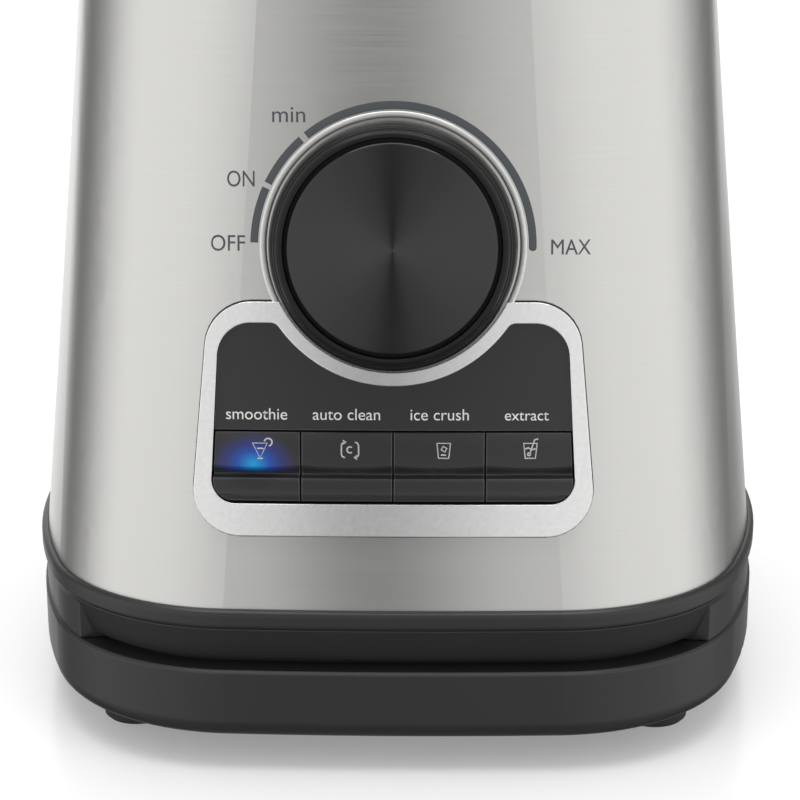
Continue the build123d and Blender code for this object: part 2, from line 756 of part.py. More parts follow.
def spline(tip_radius, root_radius):
    """A round spline profile with straight teeth."""
    step = 2 * pi / spline_teeth
    points = []
    for tooth in range(spline_teeth):
        flank = ((root_radius, -0.32), (tip_radius, -0.18), (tip_radius, 0.18), (root_radius, 0.32))
        for radius, share in flank:
            angle = (tooth + share) * step
            points.append((radius * cos(angle), radius * sin(angle)))
    with BuildSketch() as profile:
        with BuildLine():
            Polyline(*points, close=True)
        make_face()
    return profile.sketch


with BuildPart() as drive_coupling:
    with BuildSketch(Plane.XY.offset(212.5)):
        Circle(14.5)
    extrude(amount=227.0 - 212.5)
    with BuildSketch(Plane.XY.offset(217.0)):
        add(spline(11.6, 9.6))
    extrude(amount=11.0, mode=Mode.SUBTRACT)
    with BuildSketch(Plane.XY.offset(212.0)):
        Circle(shaft_radius)
    extrude(amount=shaft_top - 212.0, mode=Mode.SUBTRACT)
save(drive_coupling.part, "drive_coupling")


# ---------------------------------------------------------------- electronics
with BuildPart() as power_board:
    with BuildSketch(Plane.YZ.offset(-72.0)):
        with Locations((0, floor_top + 31.0)):
            RectangleRounded(80.0, 62.0, 2.0)
    extrude(amount=1.6)
save(power_board.part, "power_board")

with BuildPart() as capacitors:
    with BuildSketch(Plane.YZ.offset(-70.4)):
        with Locations((-28.0, 52.0), (-8.0, 52.0)):
            Circle(8.0)
    extrude(amount=18.0)
save(capacitors.part, "capacitors")

with BuildPart() as heat_sink:
    with BuildSketch(Plane.YZ.offset(-70.4)):
        with Locations((20.0, 62.0)):
            Rectangle(30.0, 46.0)
    extrude(amount=3.0)
    with BuildSketch(Plane.YZ.offset(-67.4)):
        with Locations((20.0, 62.0)):
            with GridLocations(5.6, 0, 6, 1):
                Rectangle(2.0, 46.0)
    extrude(amount=12.0)
save(heat_sink.part, "heat_sink")

with BuildPart() as reed_switch:
    with BuildSketch(Plane.XY.offset(shell_top - 5.2)):
        with Locations((-42.0, 0)):
            SlotOverall(20.0, 6.0, rotation=90)
    extrude(amount=6.0)
save(reed_switch.part, "reed_switch")


# ---------------------------------------------------------------- jug
vessel_low = 240.0


def jug_side(z):
    """Width of the jug's outside at a height."""
    return jug_low_side + (jug_top_side - jug_low_side) * (z - vessel_low) / (jug_top - vessel_low)


def jug_round(z):
    return jug_low_round + (jug_top_round - jug_low_round) * (z - vessel_low) / (jug_top - vessel_low)


def jug_block(low, high, grow):
    """A block on the jug's tapering sides."""
    return rounded_loft(
        low, jug_side(low) + 2 * grow, jug_round(low) + grow, high, jug_side(high) + 2 * grow, jug_round(high) + grow
    )


with BuildPart() as jug:
    add(jug_block(vessel_low, jug_top, 0.0))
    with BuildSketch(Plane.XY.offset(402.0)):
        with Locations((-61.0, 0)):
            Circle(4.6)
    with BuildSketch(Plane.XY.offset(jug_top)):
        with Locations((-64.0, 0)):
            Circle(12.0)
    loft(ruled=True)
    add(jug_block(vessel_low + jug_floor, jug_top + 1.0, -jug_wall), mode=Mode.SUBTRACT)
    with BuildSketch(Plane.XY.offset(402.5)):
        with Locations((-60.0, 0)):
            Circle(2.0)
    with BuildSketch(Plane.XY.offset(jug_top + 1.0)):
        with Locations((-64.0, 0)):
            Circle(9.3)
    loft(ruled=True, mode=Mode.SUBTRACT)
    with BuildSketch(Plane.XY.offset(vessel_low - 1.0)):
        Circle(neck_radius)
    extrude(amount=10.0, mode=Mode.SUBTRACT)
save(jug.part, "jug")

collar_low = deck_top + 2.0
with BuildPart() as jug_collar:
    with BuildSketch(Plane.XY.offset(collar_low)):
        RectangleRounded(116.0, 116.0, 32.0)
    with BuildSketch(Plane.XY.offset(258.0)):
        RectangleRounded(111.0, 111.0, 30.0)
    loft(ruled=True)
    with BuildSketch(Plane.XY.offset(collar_low - 1.0)):
        RectangleRounded(pedestal_side + 1.0, pedestal_side + 1.0, 28.5)
    extrude(amount=pad_top + 0.3 - collar_low + 1.0, mode=Mode.SUBTRACT)
    add(jug_block(vessel_low, 260.0, 0.0), mode=Mode.SUBTRACT)
    with BuildSketch(Plane.XY.offset(pad_top - 1.0)):
        Circle(34.0)
    extrude(amount=15.0, mode=Mode.SUBTRACT)
    with BuildSketch(Plane.XY.offset(pad_top - 1.0)):
        Circle(neck_radius)
    extrude(amount=30.0, mode=Mode.SUBTRACT)
    with BuildSketch(Plane.XY.offset(pad_top)):
        with Locations((-42.0, 0)):
            Circle(5.0)
    extrude(amount=4.3, mode=Mode.SUBTRACT)
save(jug_collar.part, "jug_collar")

with BuildPart() as jug_magnet:
    with BuildSketch(Plane.XY.offset(pad_top + 0.3)):
        with Locations((-42.0, 0)):
            Circle(5.0)
    extrude(amount=4.0)
save(jug_magnet.part, "jug_magnet")

handle_top, handle_low, handle_out = 408.0, 276.0, 112.0
with BuildPart() as jug_handle:
    with BuildLine() as handle_path:
        FilletPolyline(
            (60.0, 0, handle_top), (handle_out, 0, handle_top), (handle_out - 8.0, 0, handle_low),
            (50.0, 0, handle_low), radius=22.0,
        )
    with BuildSketch(Plane(origin=(60.0, 0, handle_top), x_dir=(0, 1, 0), z_dir=(1, 0, 0))):
        RectangleRounded(24.0, 13.0, 5.5)
    sweep()
    add(jug_block(vessel_low, jug_top, 0.0), mode=Mode.SUBTRACT)
save(jug_handle.part, "jug_handle")

hub_low, hub_top = 228.0, 255.0
with BuildPart() as blade_hub:
    with BuildSketch(Plane.XY.offset(hub_low)):
        Circle(neck_radius)
    extrude(amount=vessel_low + jug_floor - hub_low)
    with BuildSketch(Plane.XY.offset(vessel_low + jug_floor)):
        Circle(24.0)
    extrude(amount=3.0)
    with BuildSketch(Plane.XY.offset(vessel_low + jug_floor + 3.0)):
        Circle(15.0)
    extrude(amount=hub_top - vessel_low - jug_floor - 3.0, taper=20)
    with BuildSketch(Plane.XY.offset(hub_low - 1.0)):
        Circle(blade_shaft_radius + 0.05)
    extrude(amount=40.0, mode=Mode.SUBTRACT)
save(blade_hub.part, "blade_hub")

with BuildPart() as hub_nut:
    with BuildSketch(Plane.XY.offset(hub_low + 1.0)):
        RegularPolygon(28.0, 8)
        Circle(neck_radius, mode=Mode.SUBTRACT)
    extrude(amount=236.0 - hub_low - 1.0)
save(hub_nut.part, "hub_nut")

blade_low = 256.5
with BuildPart() as blade_shaft:
    with BuildSketch(Plane.XY.offset(218.5)):
        Circle(blade_shaft_radius)
    extrude(amount=blade_low + 9.0 - 218.5)
save(blade_shaft.part, "blade_shaft")

with BuildPart() as driven_coupling:
    with BuildSketch(Plane.XY.offset(217.5)):
        add(spline(11.2, 9.2))
        Circle(blade_shaft_radius, mode=Mode.SUBTRACT)
    extrude(amount=226.5 - 217.5)
    with BuildSketch(Plane.XY.offset(217.5)):
        Circle(blade_shaft_radius)
    extrude(amount=1.0)
save(driven_coupling.part, "driven_coupling")

with BuildPart() as blades:
    with BuildSketch(Plane.XY.offset(blade_low)):
        Circle(8.5)
    extrude(amount=3.6)
    for turn, lift in ((0, 1), (180, 1), (90, -1), (270, -1)):
        root = Plane((0, 0, blade_low + (2.2 if lift > 0 else 1.0))).rotated((0, 0, turn))
        with BuildSketch(Plane(root.origin, x_dir=root.x_dir, z_dir=-root.y_dir)):
            with BuildLine():
                Polyline(
                    (4.5, 0), (12.0, 0), (30.0, 16.0 * max(lift, 0) + 3.0 * min(lift, 0)),
                    (31.0, 17.2 * max(lift, 0) + 1.6 * min(lift, 0)), (11.6, 1.3), (4.5, 1.3), close=True,
                )
            make_face()
        extrude(amount=6.0, both=True)
    with BuildSketch(Plane.XY.offset(blade_low - 8.0)):
        Circle(blade_shaft_radius)
    extrude(amount=20.0, mode=Mode.SUBTRACT)
save(blades.part, "blades")

with BuildPart() as blade_nut:
    with BuildSketch(Plane.XY.offset(blade_low + 3.6)):
        RegularPolygon(6.5, 6)
        Circle(blade_shaft_radius, mode=Mode.SUBTRACT)
    extrude(amount=4.4)
save(blade_nut.part, "blade_nut")


# ---------------------------------------------------------------- lid and measuring cap
plug_half = jug_side(420.0) / 2 - jug_wall - 2.6
with BuildPart() as lid:
    with BuildSketch(Plane.XY.offset(jug_top + 0.3)):
        RectangleRounded(jug_top_side + 3.0, jug_top_side + 3.0, jug_top_round + 1.5)
    extrude(amount=lid_top - jug_top - 0.3)
    fillet(lid.faces().sort_by(Axis.Z)[-1].edges(), 4.0)
    with BuildSketch(Plane.XY.offset(416.0)):
        RectangleRounded(2 * plug_half, 2 * plug_half, 30.0)
    extrude(amount=jug_top + 1.0 - 416.0)
    with BuildSketch(Plane.XY.offset(lid_top - 1.0)):
        Circle(filler_radius + 8.0)
    extrude(amount=5.0)
    with BuildSketch(Plane.XY.offset(415.0)):
        RectangleRounded(2 * plug_half - 8.0, 2 * plug_half - 8.0, 26.0)
        Circle(filler_radius + 3.0, mode=Mode.SUBTRACT)
    extrude(amount=jug_top + 4.0 - 415.0, mode=Mode.SUBTRACT)
    with BuildSketch(Plane.XY.offset(415.0)):
        Circle(filler_radius)
    extrude(amount=40.0, mode=Mode.SUBTRACT)
save(lid.part, "lid")

with BuildPart() as lid_seal:
    with BuildSketch(Plane.XY.offset(419.0)):
        RectangleRounded(2 * plug_half + 3.4, 2 * plug_half + 3.4, 31.7)
        RectangleRounded(2 * plug_half, 2 * plug_half, 30.0, mode=Mode.SUBTRACT)
    extrude(amount=5.0)
save(lid_seal.part, "lid_seal")

cap_seat = lid_top + 4.0 + 0.3
with BuildPart() as measuring_cap:
    with BuildSketch(Plane.XY.offset(412.0)):
        Circle(filler_radius - 0.5)
    extrude(amount=cap_seat - 412.0)
    with BuildSketch(Plane.XY.offset(cap_seat)):
        Circle(filler_radius + 6.0)
    extrude(amount=14.0)
    fillet(measuring_cap.faces().sort_by(Axis.Z)[-1].edges(), 2.5)
    with BuildSketch(Plane.XY.offset(415.0)):
        Circle(filler_radius - 3.0)
    extrude(amount=60.0, mode=Mode.SUBTRACT)
save(measuring_cap.part, "measuring_cap")
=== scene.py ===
# %% [markdown]
# # A countertop blender, dressed
# The solid parts are already made. This lesson loads them as a fixed frame, and then gives each one
# its finish: brushed steel, spun black metal, moulded plastic, clear jug. Parts whose shape needs
# more detail than the frame has are modelled here and stand in for the plain ones.

import json
import math

import bpy
from mathutils import Matrix, Vector


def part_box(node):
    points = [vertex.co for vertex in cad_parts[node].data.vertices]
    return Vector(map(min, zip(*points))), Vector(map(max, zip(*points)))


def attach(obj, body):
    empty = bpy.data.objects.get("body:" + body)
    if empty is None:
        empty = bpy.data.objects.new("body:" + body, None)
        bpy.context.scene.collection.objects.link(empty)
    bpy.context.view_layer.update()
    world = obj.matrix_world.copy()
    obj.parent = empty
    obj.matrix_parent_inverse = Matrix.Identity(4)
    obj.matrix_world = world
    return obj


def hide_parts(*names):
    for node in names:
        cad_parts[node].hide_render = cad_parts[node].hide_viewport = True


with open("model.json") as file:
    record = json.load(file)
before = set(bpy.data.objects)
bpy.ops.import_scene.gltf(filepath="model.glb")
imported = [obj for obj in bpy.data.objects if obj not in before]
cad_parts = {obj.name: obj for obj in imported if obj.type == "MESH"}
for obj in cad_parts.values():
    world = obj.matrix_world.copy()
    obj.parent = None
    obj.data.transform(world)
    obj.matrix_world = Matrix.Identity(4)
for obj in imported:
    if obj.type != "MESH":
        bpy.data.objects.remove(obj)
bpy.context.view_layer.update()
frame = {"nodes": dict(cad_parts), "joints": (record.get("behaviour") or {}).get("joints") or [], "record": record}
nodes = frame["nodes"]

# %% [markdown]
# The camera comes first, because every later choice is judged through it. It stands close and a
# little above the base, so the front face, which leans back, is met almost squarely.

# %% Camera
scene = bpy.context.scene
scene.view_settings.view_transform = "Standard"
scene.view_settings.look = "None"

camera_aim = Vector((0.0018, -0.1, 0.098))
camera_distance = 0.5
camera_rise = math.radians(16.0)
camera_turn = math.radians(0.8)
camera_lens = 93.7
bpy.ops.object.camera_add()
camera = bpy.context.object
camera.name = "studio_camera"
away = Vector((
    math.sin(camera_turn) * math.cos(camera_rise),
    -math.cos(camera_turn) * math.cos(camera_rise),
    math.sin(camera_rise),
))
camera.location = camera_aim + away * camera_distance
camera.rotation_euler = (-away).to_track_quat("-Z", "Y").to_euler()
camera.data.sensor_width = 36.0
camera.data.lens = camera_lens
camera.data.clip_start = 0.01
scene.camera = camera
print("camera at", [round(v, 4) for v in camera.location])

# %% [markdown]
# Node trees are built in code all through this lesson, so two small helpers come first. One empties
# a tree. The other adds a node, sets its inputs by name and wires it up in the same line.


# %% Node helpers
def fresh_tree(owner):
    """Empties a material's or world's node tree and hands it back."""
    owner.use_nodes = True
    owner.node_tree.nodes.clear()
    return owner.node_tree


def put(tree, kind, links=None, settings=None, **values):
    """Adds a node. Settings are its own options, values go on its inputs, links feed its inputs."""
    made = tree.nodes.new(kind)
    for name, value in (settings or {}).items():
        setattr(made, name, value)
    for name, value in values.items():
        made.inputs[name.replace("_", " ")].default_value = value
    for name, source in (links or {}).items():
        tree.links.new(source, made.inputs[name])
    made.location = (220 * len(tree.nodes) - 1600, 0)
    return made


def ramp(tree, source, stops):
    """A colour ramp over a value, from (position, grey or colour) stops."""
    made = put(tree, "ShaderNodeValToRGB", {"Fac": source})
    band = made.color_ramp
    while len(band.elements) < len(stops):
        band.elements.new(0.5)
    for stop, (position, shade) in zip(band.elements, stops):
        stop.position = position
        stop.color = (*shade, 1.0) if isinstance(shade, tuple) else (shade, shade, shade, 1.0)
    return made.outputs["Color"]


def maths(tree, operation, first, second=None):
    """One step of arithmetic on values or sockets."""
    made = tree.nodes.new("ShaderNodeMath")
    made.operation = operation
    for slot_number, term in enumerate((first, second)):
        if term is None:
            continue
        if isinstance(term, (int, float)):
            made.inputs[slot_number].default_value = term
        else:
            tree.links.new(term, made.inputs[slot_number])
    return made.outputs[0]


# %% [markdown]
# A studio for metal is mostly about what the metal sees. The room is pale, with a soft light on
# each side of the camera, a grey gap between them, and darker corners behind the blender. The gap
# makes the darker middle of the steel, and the corners make the lines down its rounded edges. The
# camera itself sees only an even pale wall.

# %% World
gap_offset = 0.037  # radians: the grey gap stands a little to the left of straight ahead
left_reach = 0.12  # the bands on the left are drawn in by this share
room_strength = 1.14
wall_shades = (
    (0.0, 0.06), (0.011, 0.12), (0.024, 0.44), (0.034, 0.64), (0.044, 0.72), (0.062, 0.745),
    (0.080, 0.77), (0.13, 0.82), (0.26, 0.95), (0.50, 1.0), (0.59, 0.78), (0.67, 0.44),
    (0.75, 0.24), (0.81, 0.18), (0.87, 0.36), (0.93, 0.85), (1.0, 1.0),
)
height_shades = ((0.0, 0.2), (0.18, 0.25), (0.34, 1.0), (0.78, 1.0), (1.0, 0.5))
world = bpy.data.worlds.new("studio_room")
scene.world = world
tree = fresh_tree(world)
heading = put(tree, "ShaderNodeSeparateXYZ", {0: put(tree, "ShaderNodeTexCoord").outputs["Generated"]})
ahead = maths(tree, "MULTIPLY", heading.outputs["Y"], -1.0)
bearing = maths(tree, "ARCTAN2", heading.outputs["X"], ahead)
from_gap = maths(tree, "ADD", bearing, gap_offset)
on_left = maths(tree, "LESS_THAN", from_gap, 0.0)
draw_in = maths(tree, "ADD", maths(tree, "MULTIPLY", on_left, left_reach), 1.0)
half_turns = maths(tree, "DIVIDE", maths(tree, "ABSOLUTE", from_gap), math.pi)
walls = ramp(tree, maths(tree, "MULTIPLY", half_turns, draw_in), wall_shades)
rise = maths(tree, "ADD", maths(tree, "MULTIPLY", heading.outputs["Z"], 0.5), 0.5)
heights = ramp(tree, rise, height_shades)
lit_walls = put(tree, "ShaderNodeVectorMath", {0: walls, 1: heights}, {"operation": "MULTIPLY"})
room = put(tree, "ShaderNodeBackground", {"Color": lit_walls.outputs[0]}, Strength=room_strength)
wall = put(tree, "ShaderNodeBackground", Color=(0.95, 0.95, 0.95, 1), Strength=1.0)
seen = put(tree, "ShaderNodeLightPath").outputs["Is Camera Ray"]
both = put(tree, "ShaderNodeMixShader", {0: seen, 1: room.outputs[0], 2: wall.outputs[0]})
put(tree, "ShaderNodeOutputWorld", {"Surface": both.outputs[0]})
print("room made of", len(wall_shades), "bands in", len(tree.nodes), "nodes")

# %% [markdown]
# One large soft light hangs overhead. It gives the edges that face upwards their pale line, and
# throws the short, soft shadow under the base. A large light makes soft shadows, a small one hard.

# %% Softbox overhead
light_place, light_aim = Vector((0.0, -0.1, 1.6)), Vector((0.0, 0.0, 0.1))
light_width, light_depth, light_watts = 1.4, 1.2, 16.0
bpy.ops.object.light_add(type="AREA", location=light_place)
softbox = bpy.context.object
softbox.name = "top_softbox"
softbox.data.shape = "RECTANGLE"
softbox.data.size, softbox.data.size_y = light_width, light_depth
softbox.data.energy = light_watts
softbox.rotation_euler = (light_aim - light_place).to_track_quat("-Z", "Y").to_euler()
print("softbox", light_width, "by", light_depth, "m,", light_watts, "W")

# %% [markdown]
# The floor is a plain pale sheet with a slight polish, so the base leaves a soft mirror image and a
# soft shadow on it. It glows a little, like a lit table, which keeps the shadow pale. Shiny parts
# don't mirror it, so the steel shows the room's bands right down to its foot.

# %% Floor
bpy.ops.object.select_all(action="DESELECT")
floor_size, floor_glow = 14.0, 0.25
bpy.ops.mesh.primitive_plane_add(size=floor_size, location=(0, 0, 0))
floor = bpy.context.object
floor.name = "floor"
floor_look = bpy.data.materials.new("floor_sheet")
tree = fresh_tree(floor_look)
floor_shader = put(tree, "ShaderNodeBsdfPrincipled", Base_Color=(0.80, 0.80, 0.80, 1), Roughness=0.2)
floor_shader.inputs["Specular IOR Level"].default_value = 0.4
floor_shader.inputs["Emission Color"].default_value = (1, 1, 1, 1)
floor_shader.inputs["Emission Strength"].default_value = floor_glow
put(tree, "ShaderNodeOutputMaterial", {"Surface": floor_shader.outputs[0]})
floor.data.materials.append(floor_look)
floor.visible_glossy = False
print("floor", floor_size, "m across")

# %% [markdown]
# Four effects turn up in many finishes, so each is a node group made once. Mottle varies a colour
# and a roughness slowly over the surface. Pitted gives the fine grain of moulded plastic as a
# height. Brushed draws the long scratches of brushed metal. Soft edges rounds the shading at sharp
# corners and gives a mask of where they are.


# %% Group helper
def new_group(name, inputs, outputs):
    """Starts a shader node group with named sockets, and hands back its tree and its two ends."""
    group = bpy.data.node_groups.new(name, "ShaderNodeTree")
    for label, kind, value in inputs:
        socket = group.interface.new_socket(label, in_out="INPUT", socket_type=kind)
        socket.default_value = value
    for label, kind in outputs:
        group.interface.new_socket(label, in_out="OUTPUT", socket_type=kind)
    return group, group.nodes.new("NodeGroupInput"), group.nodes.new("NodeGroupOutput")


number, colour, direction = "NodeSocketFloat", "NodeSocketColor", "NodeSocketVector"

# %% Mottle group
mottle, start, end = new_group("mottle", (
    ("Color", colour, (0.5, 0.5, 0.5, 1)), ("Roughness", number, 0.5), ("Scale", number, 20.0),
    ("Color Spread", number, 0.1), ("Roughness Spread", number, 0.08),
), (("Color", colour), ("Roughness", number)))
place = put(mottle, "ShaderNodeTexCoord").outputs["Object"]
cloud = put(mottle, "ShaderNodeTexNoise", {"Vector": place, "Scale": start.outputs["Scale"]}, Detail=4.0)
level = maths(mottle, "SUBTRACT", cloud.outputs["Fac"], 0.5)
gain = maths(mottle, "ADD", maths(mottle, "MULTIPLY", level, start.outputs["Color Spread"]), 1.0)
tinted = put(mottle, "ShaderNodeVectorMath", {0: start.outputs["Color"]}, {"operation": "SCALE"})
mottle.links.new(gain, tinted.inputs["Scale"])
mottle.links.new(tinted.outputs[0], end.inputs["Color"])
rough = maths(mottle, "MULTIPLY", level, start.outputs["Roughness Spread"])
mottle.links.new(maths(mottle, "ADD", rough, start.outputs["Roughness"]), end.inputs["Roughness"])

# %% Pitted group
pitted, start, end = new_group("pitted", (("Scale", number, 1400.0),), (("Pits", number),))
place = put(pitted, "ShaderNodeTexCoord").outputs["Object"]
grain = put(pitted, "ShaderNodeTexNoise", {"Vector": place, "Scale": start.outputs["Scale"]}, Detail=2.0)
pitted.links.new(grain.outputs["Fac"], end.inputs["Pits"])

# %% Brushed group
skin_depth = 0.0001  # metres: the deepest that a pit or a scratch can be
brushed, start, end = new_group("brushed", (
    ("Across", direction, (6.0, 6.0, 2600.0)), ("Strength", number, 0.1),
), (("Lines", number), ("Normal", direction)))
place = put(brushed, "ShaderNodeTexCoord").outputs["Object"]
stretched = put(brushed, "ShaderNodeVectorMath", {0: place, 1: start.outputs["Across"]},
                {"operation": "MULTIPLY"})
scratches = put(brushed, "ShaderNodeTexNoise", {"Vector": stretched.outputs[0]}, Scale=1.0, Detail=3.0)
brushed.links.new(scratches.outputs["Fac"], end.inputs["Lines"])
bump = put(brushed, "ShaderNodeBump",
           {"Height": scratches.outputs["Fac"], "Strength": start.outputs["Strength"]}, Distance=skin_depth)
brushed.links.new(bump.outputs[0], end.inputs["Normal"])

# %% Soft edges group
soft_edges, start, end = new_group(
    "soft_edges", (("Radius", number, 0.0004),), (("Normal", direction), ("Edge", number)),
)
rounded = put(soft_edges, "ShaderNodeBevel", {"Radius": start.outputs["Radius"]}, {"samples": 6})
flat = put(soft_edges, "ShaderNodeNewGeometry").outputs["True Normal"]
match = put(soft_edges, "ShaderNodeVectorMath", {0: rounded.outputs[0], 1: flat},
            {"operation": "DOT_PRODUCT"})
soft_edges.links.new(rounded.outputs[0], end.inputs["Normal"])
soft_edges.links.new(maths(soft_edges, "SUBTRACT", 1.0, match.outputs["Value"]), end.inputs["Edge"])
print("groups", [group.name for group in bpy.data.node_groups])


# %% Place a group in a material
def effect(tree, group, **values):
    """Places one of the effect groups in a tree with its own values."""
    return put(tree, "ShaderNodeGroup", None, {"node_tree": group}, **values)


# %% [markdown]
# Most finishes here are one of two kinds, plastic and metal. A finish function makes each kind from
# a colour, a roughness and a grain, so that all of them share the same careful build, and special
# finishes such as the shell, the lit key and the jug are made one by one.


# %% Finish functions
def start_material(name):
    """A new material with a Principled shader wired to its output."""
    made = bpy.data.materials.new(name)
    tree = fresh_tree(made)
    shader = put(tree, "ShaderNodeBsdfPrincipled")
    put(tree, "ShaderNodeOutputMaterial", {"Surface": shader.outputs[0]})
    return made, tree, shader


def plastic(name, tint, roughness, grain=0.12, spread=0.12, edge=0.0004, scale=1400.0, shine=0.5,
            edge_highlight=0.0):
    """Moulded plastic or rubber: a mottled colour, a pitted skin, and rounded edges lightened by a painted
    highlight.
    """
    made, tree, shader = start_material(name)
    skin = effect(tree, mottle, Color=(*tint, 1), Roughness=roughness, Scale=35.0, Color_Spread=spread)
    rim = effect(tree, soft_edges, Radius=edge)
    pits = effect(tree, pitted, Scale=scale)
    relief = put(tree, "ShaderNodeBump", {"Height": pits.outputs["Pits"], "Normal": rim.outputs["Normal"]},
                 Strength=grain, Distance=skin_depth)
    # Painted highlight: the colour is made lighter along sharp edges, by the edge mask times this amount.
    with_edge_highlight = put(tree, "ShaderNodeVectorMath", {0: skin.outputs["Color"]}, {"operation": "ADD"})
    tree.links.new(maths(tree, "MULTIPLY", rim.outputs["Edge"], edge_highlight), with_edge_highlight.inputs[1])
    tree.links.new(with_edge_highlight.outputs[0], shader.inputs["Base Color"])
    tree.links.new(skin.outputs["Roughness"], shader.inputs["Roughness"])
    tree.links.new(relief.outputs[0], shader.inputs["Normal"])
    shader.inputs["Specular IOR Level"].default_value = shine
    return made


def metal(name, tint, roughness, lines, strength, spread=0.12, edge=0.0003):
    """Bare metal: scratches along one way or none, a mottled sheen and softly rounded edges."""
    made, tree, shader = start_material(name)
    skin = effect(tree, mottle, Color=(*tint, 1), Roughness=roughness, Scale=25.0, Color_Spread=spread)
    cut = effect(tree, brushed, Across=lines, Strength=strength)
    shade = maths(tree, "ADD", maths(tree, "MULTIPLY", cut.outputs["Lines"], 0.16), 0.92)
    tone = put(tree, "ShaderNodeVectorMath", {0: skin.outputs["Color"]}, {"operation": "SCALE"})
    tree.links.new(shade, tone.inputs["Scale"])
    rim = effect(tree, soft_edges, Radius=edge)
    relief = put(tree, "ShaderNodeBump", {"Height": cut.outputs["Lines"], "Normal": rim.outputs["Normal"]},
                 Strength=strength, Distance=skin_depth)
    tree.links.new(tone.outputs[0], shader.inputs["Base Color"])
    tree.links.new(skin.outputs["Roughness"], shader.inputs["Roughness"])
    tree.links.new(relief.outputs[0], shader.inputs["Normal"])
    shader.inputs["Metallic"].default_value = 1.0
    return made


# %% [markdown]
# The shell is brushed steel with its scratches running round the body. Such steel smears what it
# mirrors across the scratches, up and down here, so the shader is told to stretch its highlights
# that way with the Anisotropic setting. A Tangent node that turns round Z gives the scratch direction.

# %% Shell steel
shell_steel, tree, shader = start_material("shell_steel")
skin = effect(tree, mottle, Color=(0.66, 0.655, 0.635, 1), Roughness=0.30, Scale=9.0, Color_Spread=0.03,
              Roughness_Spread=0.04)
cut = effect(tree, brushed, Across=(45.0, 45.0, 5200.0), Strength=0.10)
shade = maths(tree, "ADD", maths(tree, "MULTIPLY", cut.outputs["Lines"], 0.12), 0.94)
tone = put(tree, "ShaderNodeVectorMath", {0: skin.outputs["Color"]}, {"operation": "SCALE"})
tree.links.new(shade, tone.inputs["Scale"])
tree.links.new(tone.outputs[0], shader.inputs["Base Color"])
rough = maths(tree, "ADD", maths(tree, "MULTIPLY", cut.outputs["Lines"], 0.10), skin.outputs["Roughness"])
tree.links.new(maths(tree, "SUBTRACT", rough, 0.05), shader.inputs["Roughness"])
tree.links.new(cut.outputs["Normal"], shader.inputs["Normal"])
shader.inputs["Metallic"].default_value = 1.0
shader.inputs["Anisotropic"].default_value = 0.88
shader.inputs["Anisotropic Rotation"].default_value = 0.25
round_body = put(tree, "ShaderNodeTangent", None, {"direction_type": "RADIAL", "axis": "Z"})
tree.links.new(round_body.outputs[0], shader.inputs["Tangent"])
print("shell steel", len(tree.nodes), "nodes")

# %% [markdown]
# The knob's face is black metal that was turned on a lathe, so its scratches are circles, and its
# highlight becomes a bow tie that stays put while the knob turns. The Tangent node turns round Y here.

# %% Knob face metal
knob_metal, tree, shader = start_material("knob_metal")
skin = effect(tree, mottle, Color=(0.070, 0.070, 0.071, 1), Roughness=0.28, Scale=60.0, Color_Spread=0.1)
tree.links.new(skin.outputs["Color"], shader.inputs["Base Color"])
tree.links.new(skin.outputs["Roughness"], shader.inputs["Roughness"])
shader.inputs["Metallic"].default_value = 1.0
shader.inputs["Anisotropic"].default_value = 0.985
shader.inputs["Anisotropic Rotation"].default_value = 0.25
round_knob = put(tree, "ShaderNodeTangent", None, {"direction_type": "RADIAL", "axis": "Y"})
tree.links.new(round_knob.outputs[0], shader.inputs["Tangent"])
print("knob face metal", len(tree.nodes), "nodes")

# %% [markdown]
# The other finishes come from the two functions. The outside plastics are near black and differ in
# gloss and grain: satin on the body, smoother on the panel, smoothest on the knob. The parts inside
# have the colours of iron, copper, carbon and a lacquered board.

# %% Plastics and rubber
# In the first three finishes the last value lightens the colour along sharp edges: a painted highlight.
body_plastic = plastic("body_plastic", (0.016, 0.016, 0.0155), 0.36, grain=0.08, spread=0.10, edge=0.0006,
                       edge_highlight=0.15)
panel_plastic = plastic("panel_plastic", (0.0185, 0.0185, 0.019), 0.30, grain=0.03, spread=0.06, edge_highlight=0.5)
knob_gloss = plastic("knob_gloss", (0.005, 0.005, 0.005), 0.34, grain=0.004, spread=0.1, edge=0.00015,
                     shine=0.24, edge_highlight=0.2)
rubber_look = plastic("rubber_look", (0.020, 0.020, 0.020), 0.75, grain=0.25, spread=0.2, edge=0.0008,
                      scale=2200.0)
inner_plastic = plastic("inner_plastic", (0.13, 0.13, 0.135), 0.55, grain=0.15, spread=0.15)
component_look = plastic("component_look", (0.03, 0.035, 0.08), 0.3, grain=0.05, spread=0.2)
board_look = plastic("board_look", (0.02, 0.11, 0.05), 0.35, grain=0.08, spread=0.3, edge=0.0002,
                     scale=500.0)
guide_look = plastic("guide_look", (0.75, 0.80, 0.86), 0.15, grain=0.02, spread=0.05)
carbon_look = plastic("carbon_look", (0.03, 0.03, 0.03), 0.6, grain=0.2)

# %% Metals
bezel_satin = metal("bezel_satin", (0.93, 0.93, 0.925), 0.22, (900.0, 900.0, 900.0), 0.004, spread=0.02,
                    edge=0.0004)
bright_steel = metal("bright_steel", (0.62, 0.62, 0.61), 0.22, (300.0, 300.0, 2400.0), 0.05)
blade_steel = metal("blade_steel", (0.66, 0.66, 0.66), 0.16, (1800.0, 1800.0, 200.0), 0.05)
cast_metal = metal("cast_metal", (0.52, 0.53, 0.54), 0.42, (700.0, 700.0, 700.0), 0.2)
iron_stack = metal("iron_stack", (0.20, 0.20, 0.21), 0.5, (4.0, 4.0, 1800.0), 0.5)
copper_wire = metal("copper_wire", (0.60, 0.24, 0.10), 0.33, (60.0, 60.0, 1500.0), 0.6)
print("finishes so far", len(bpy.data.materials))

# %% [markdown]
# Two finishes are made by themselves. The jug is clear plastic, so light goes through it and bends
# a little, and the diode behind the lit key glows.

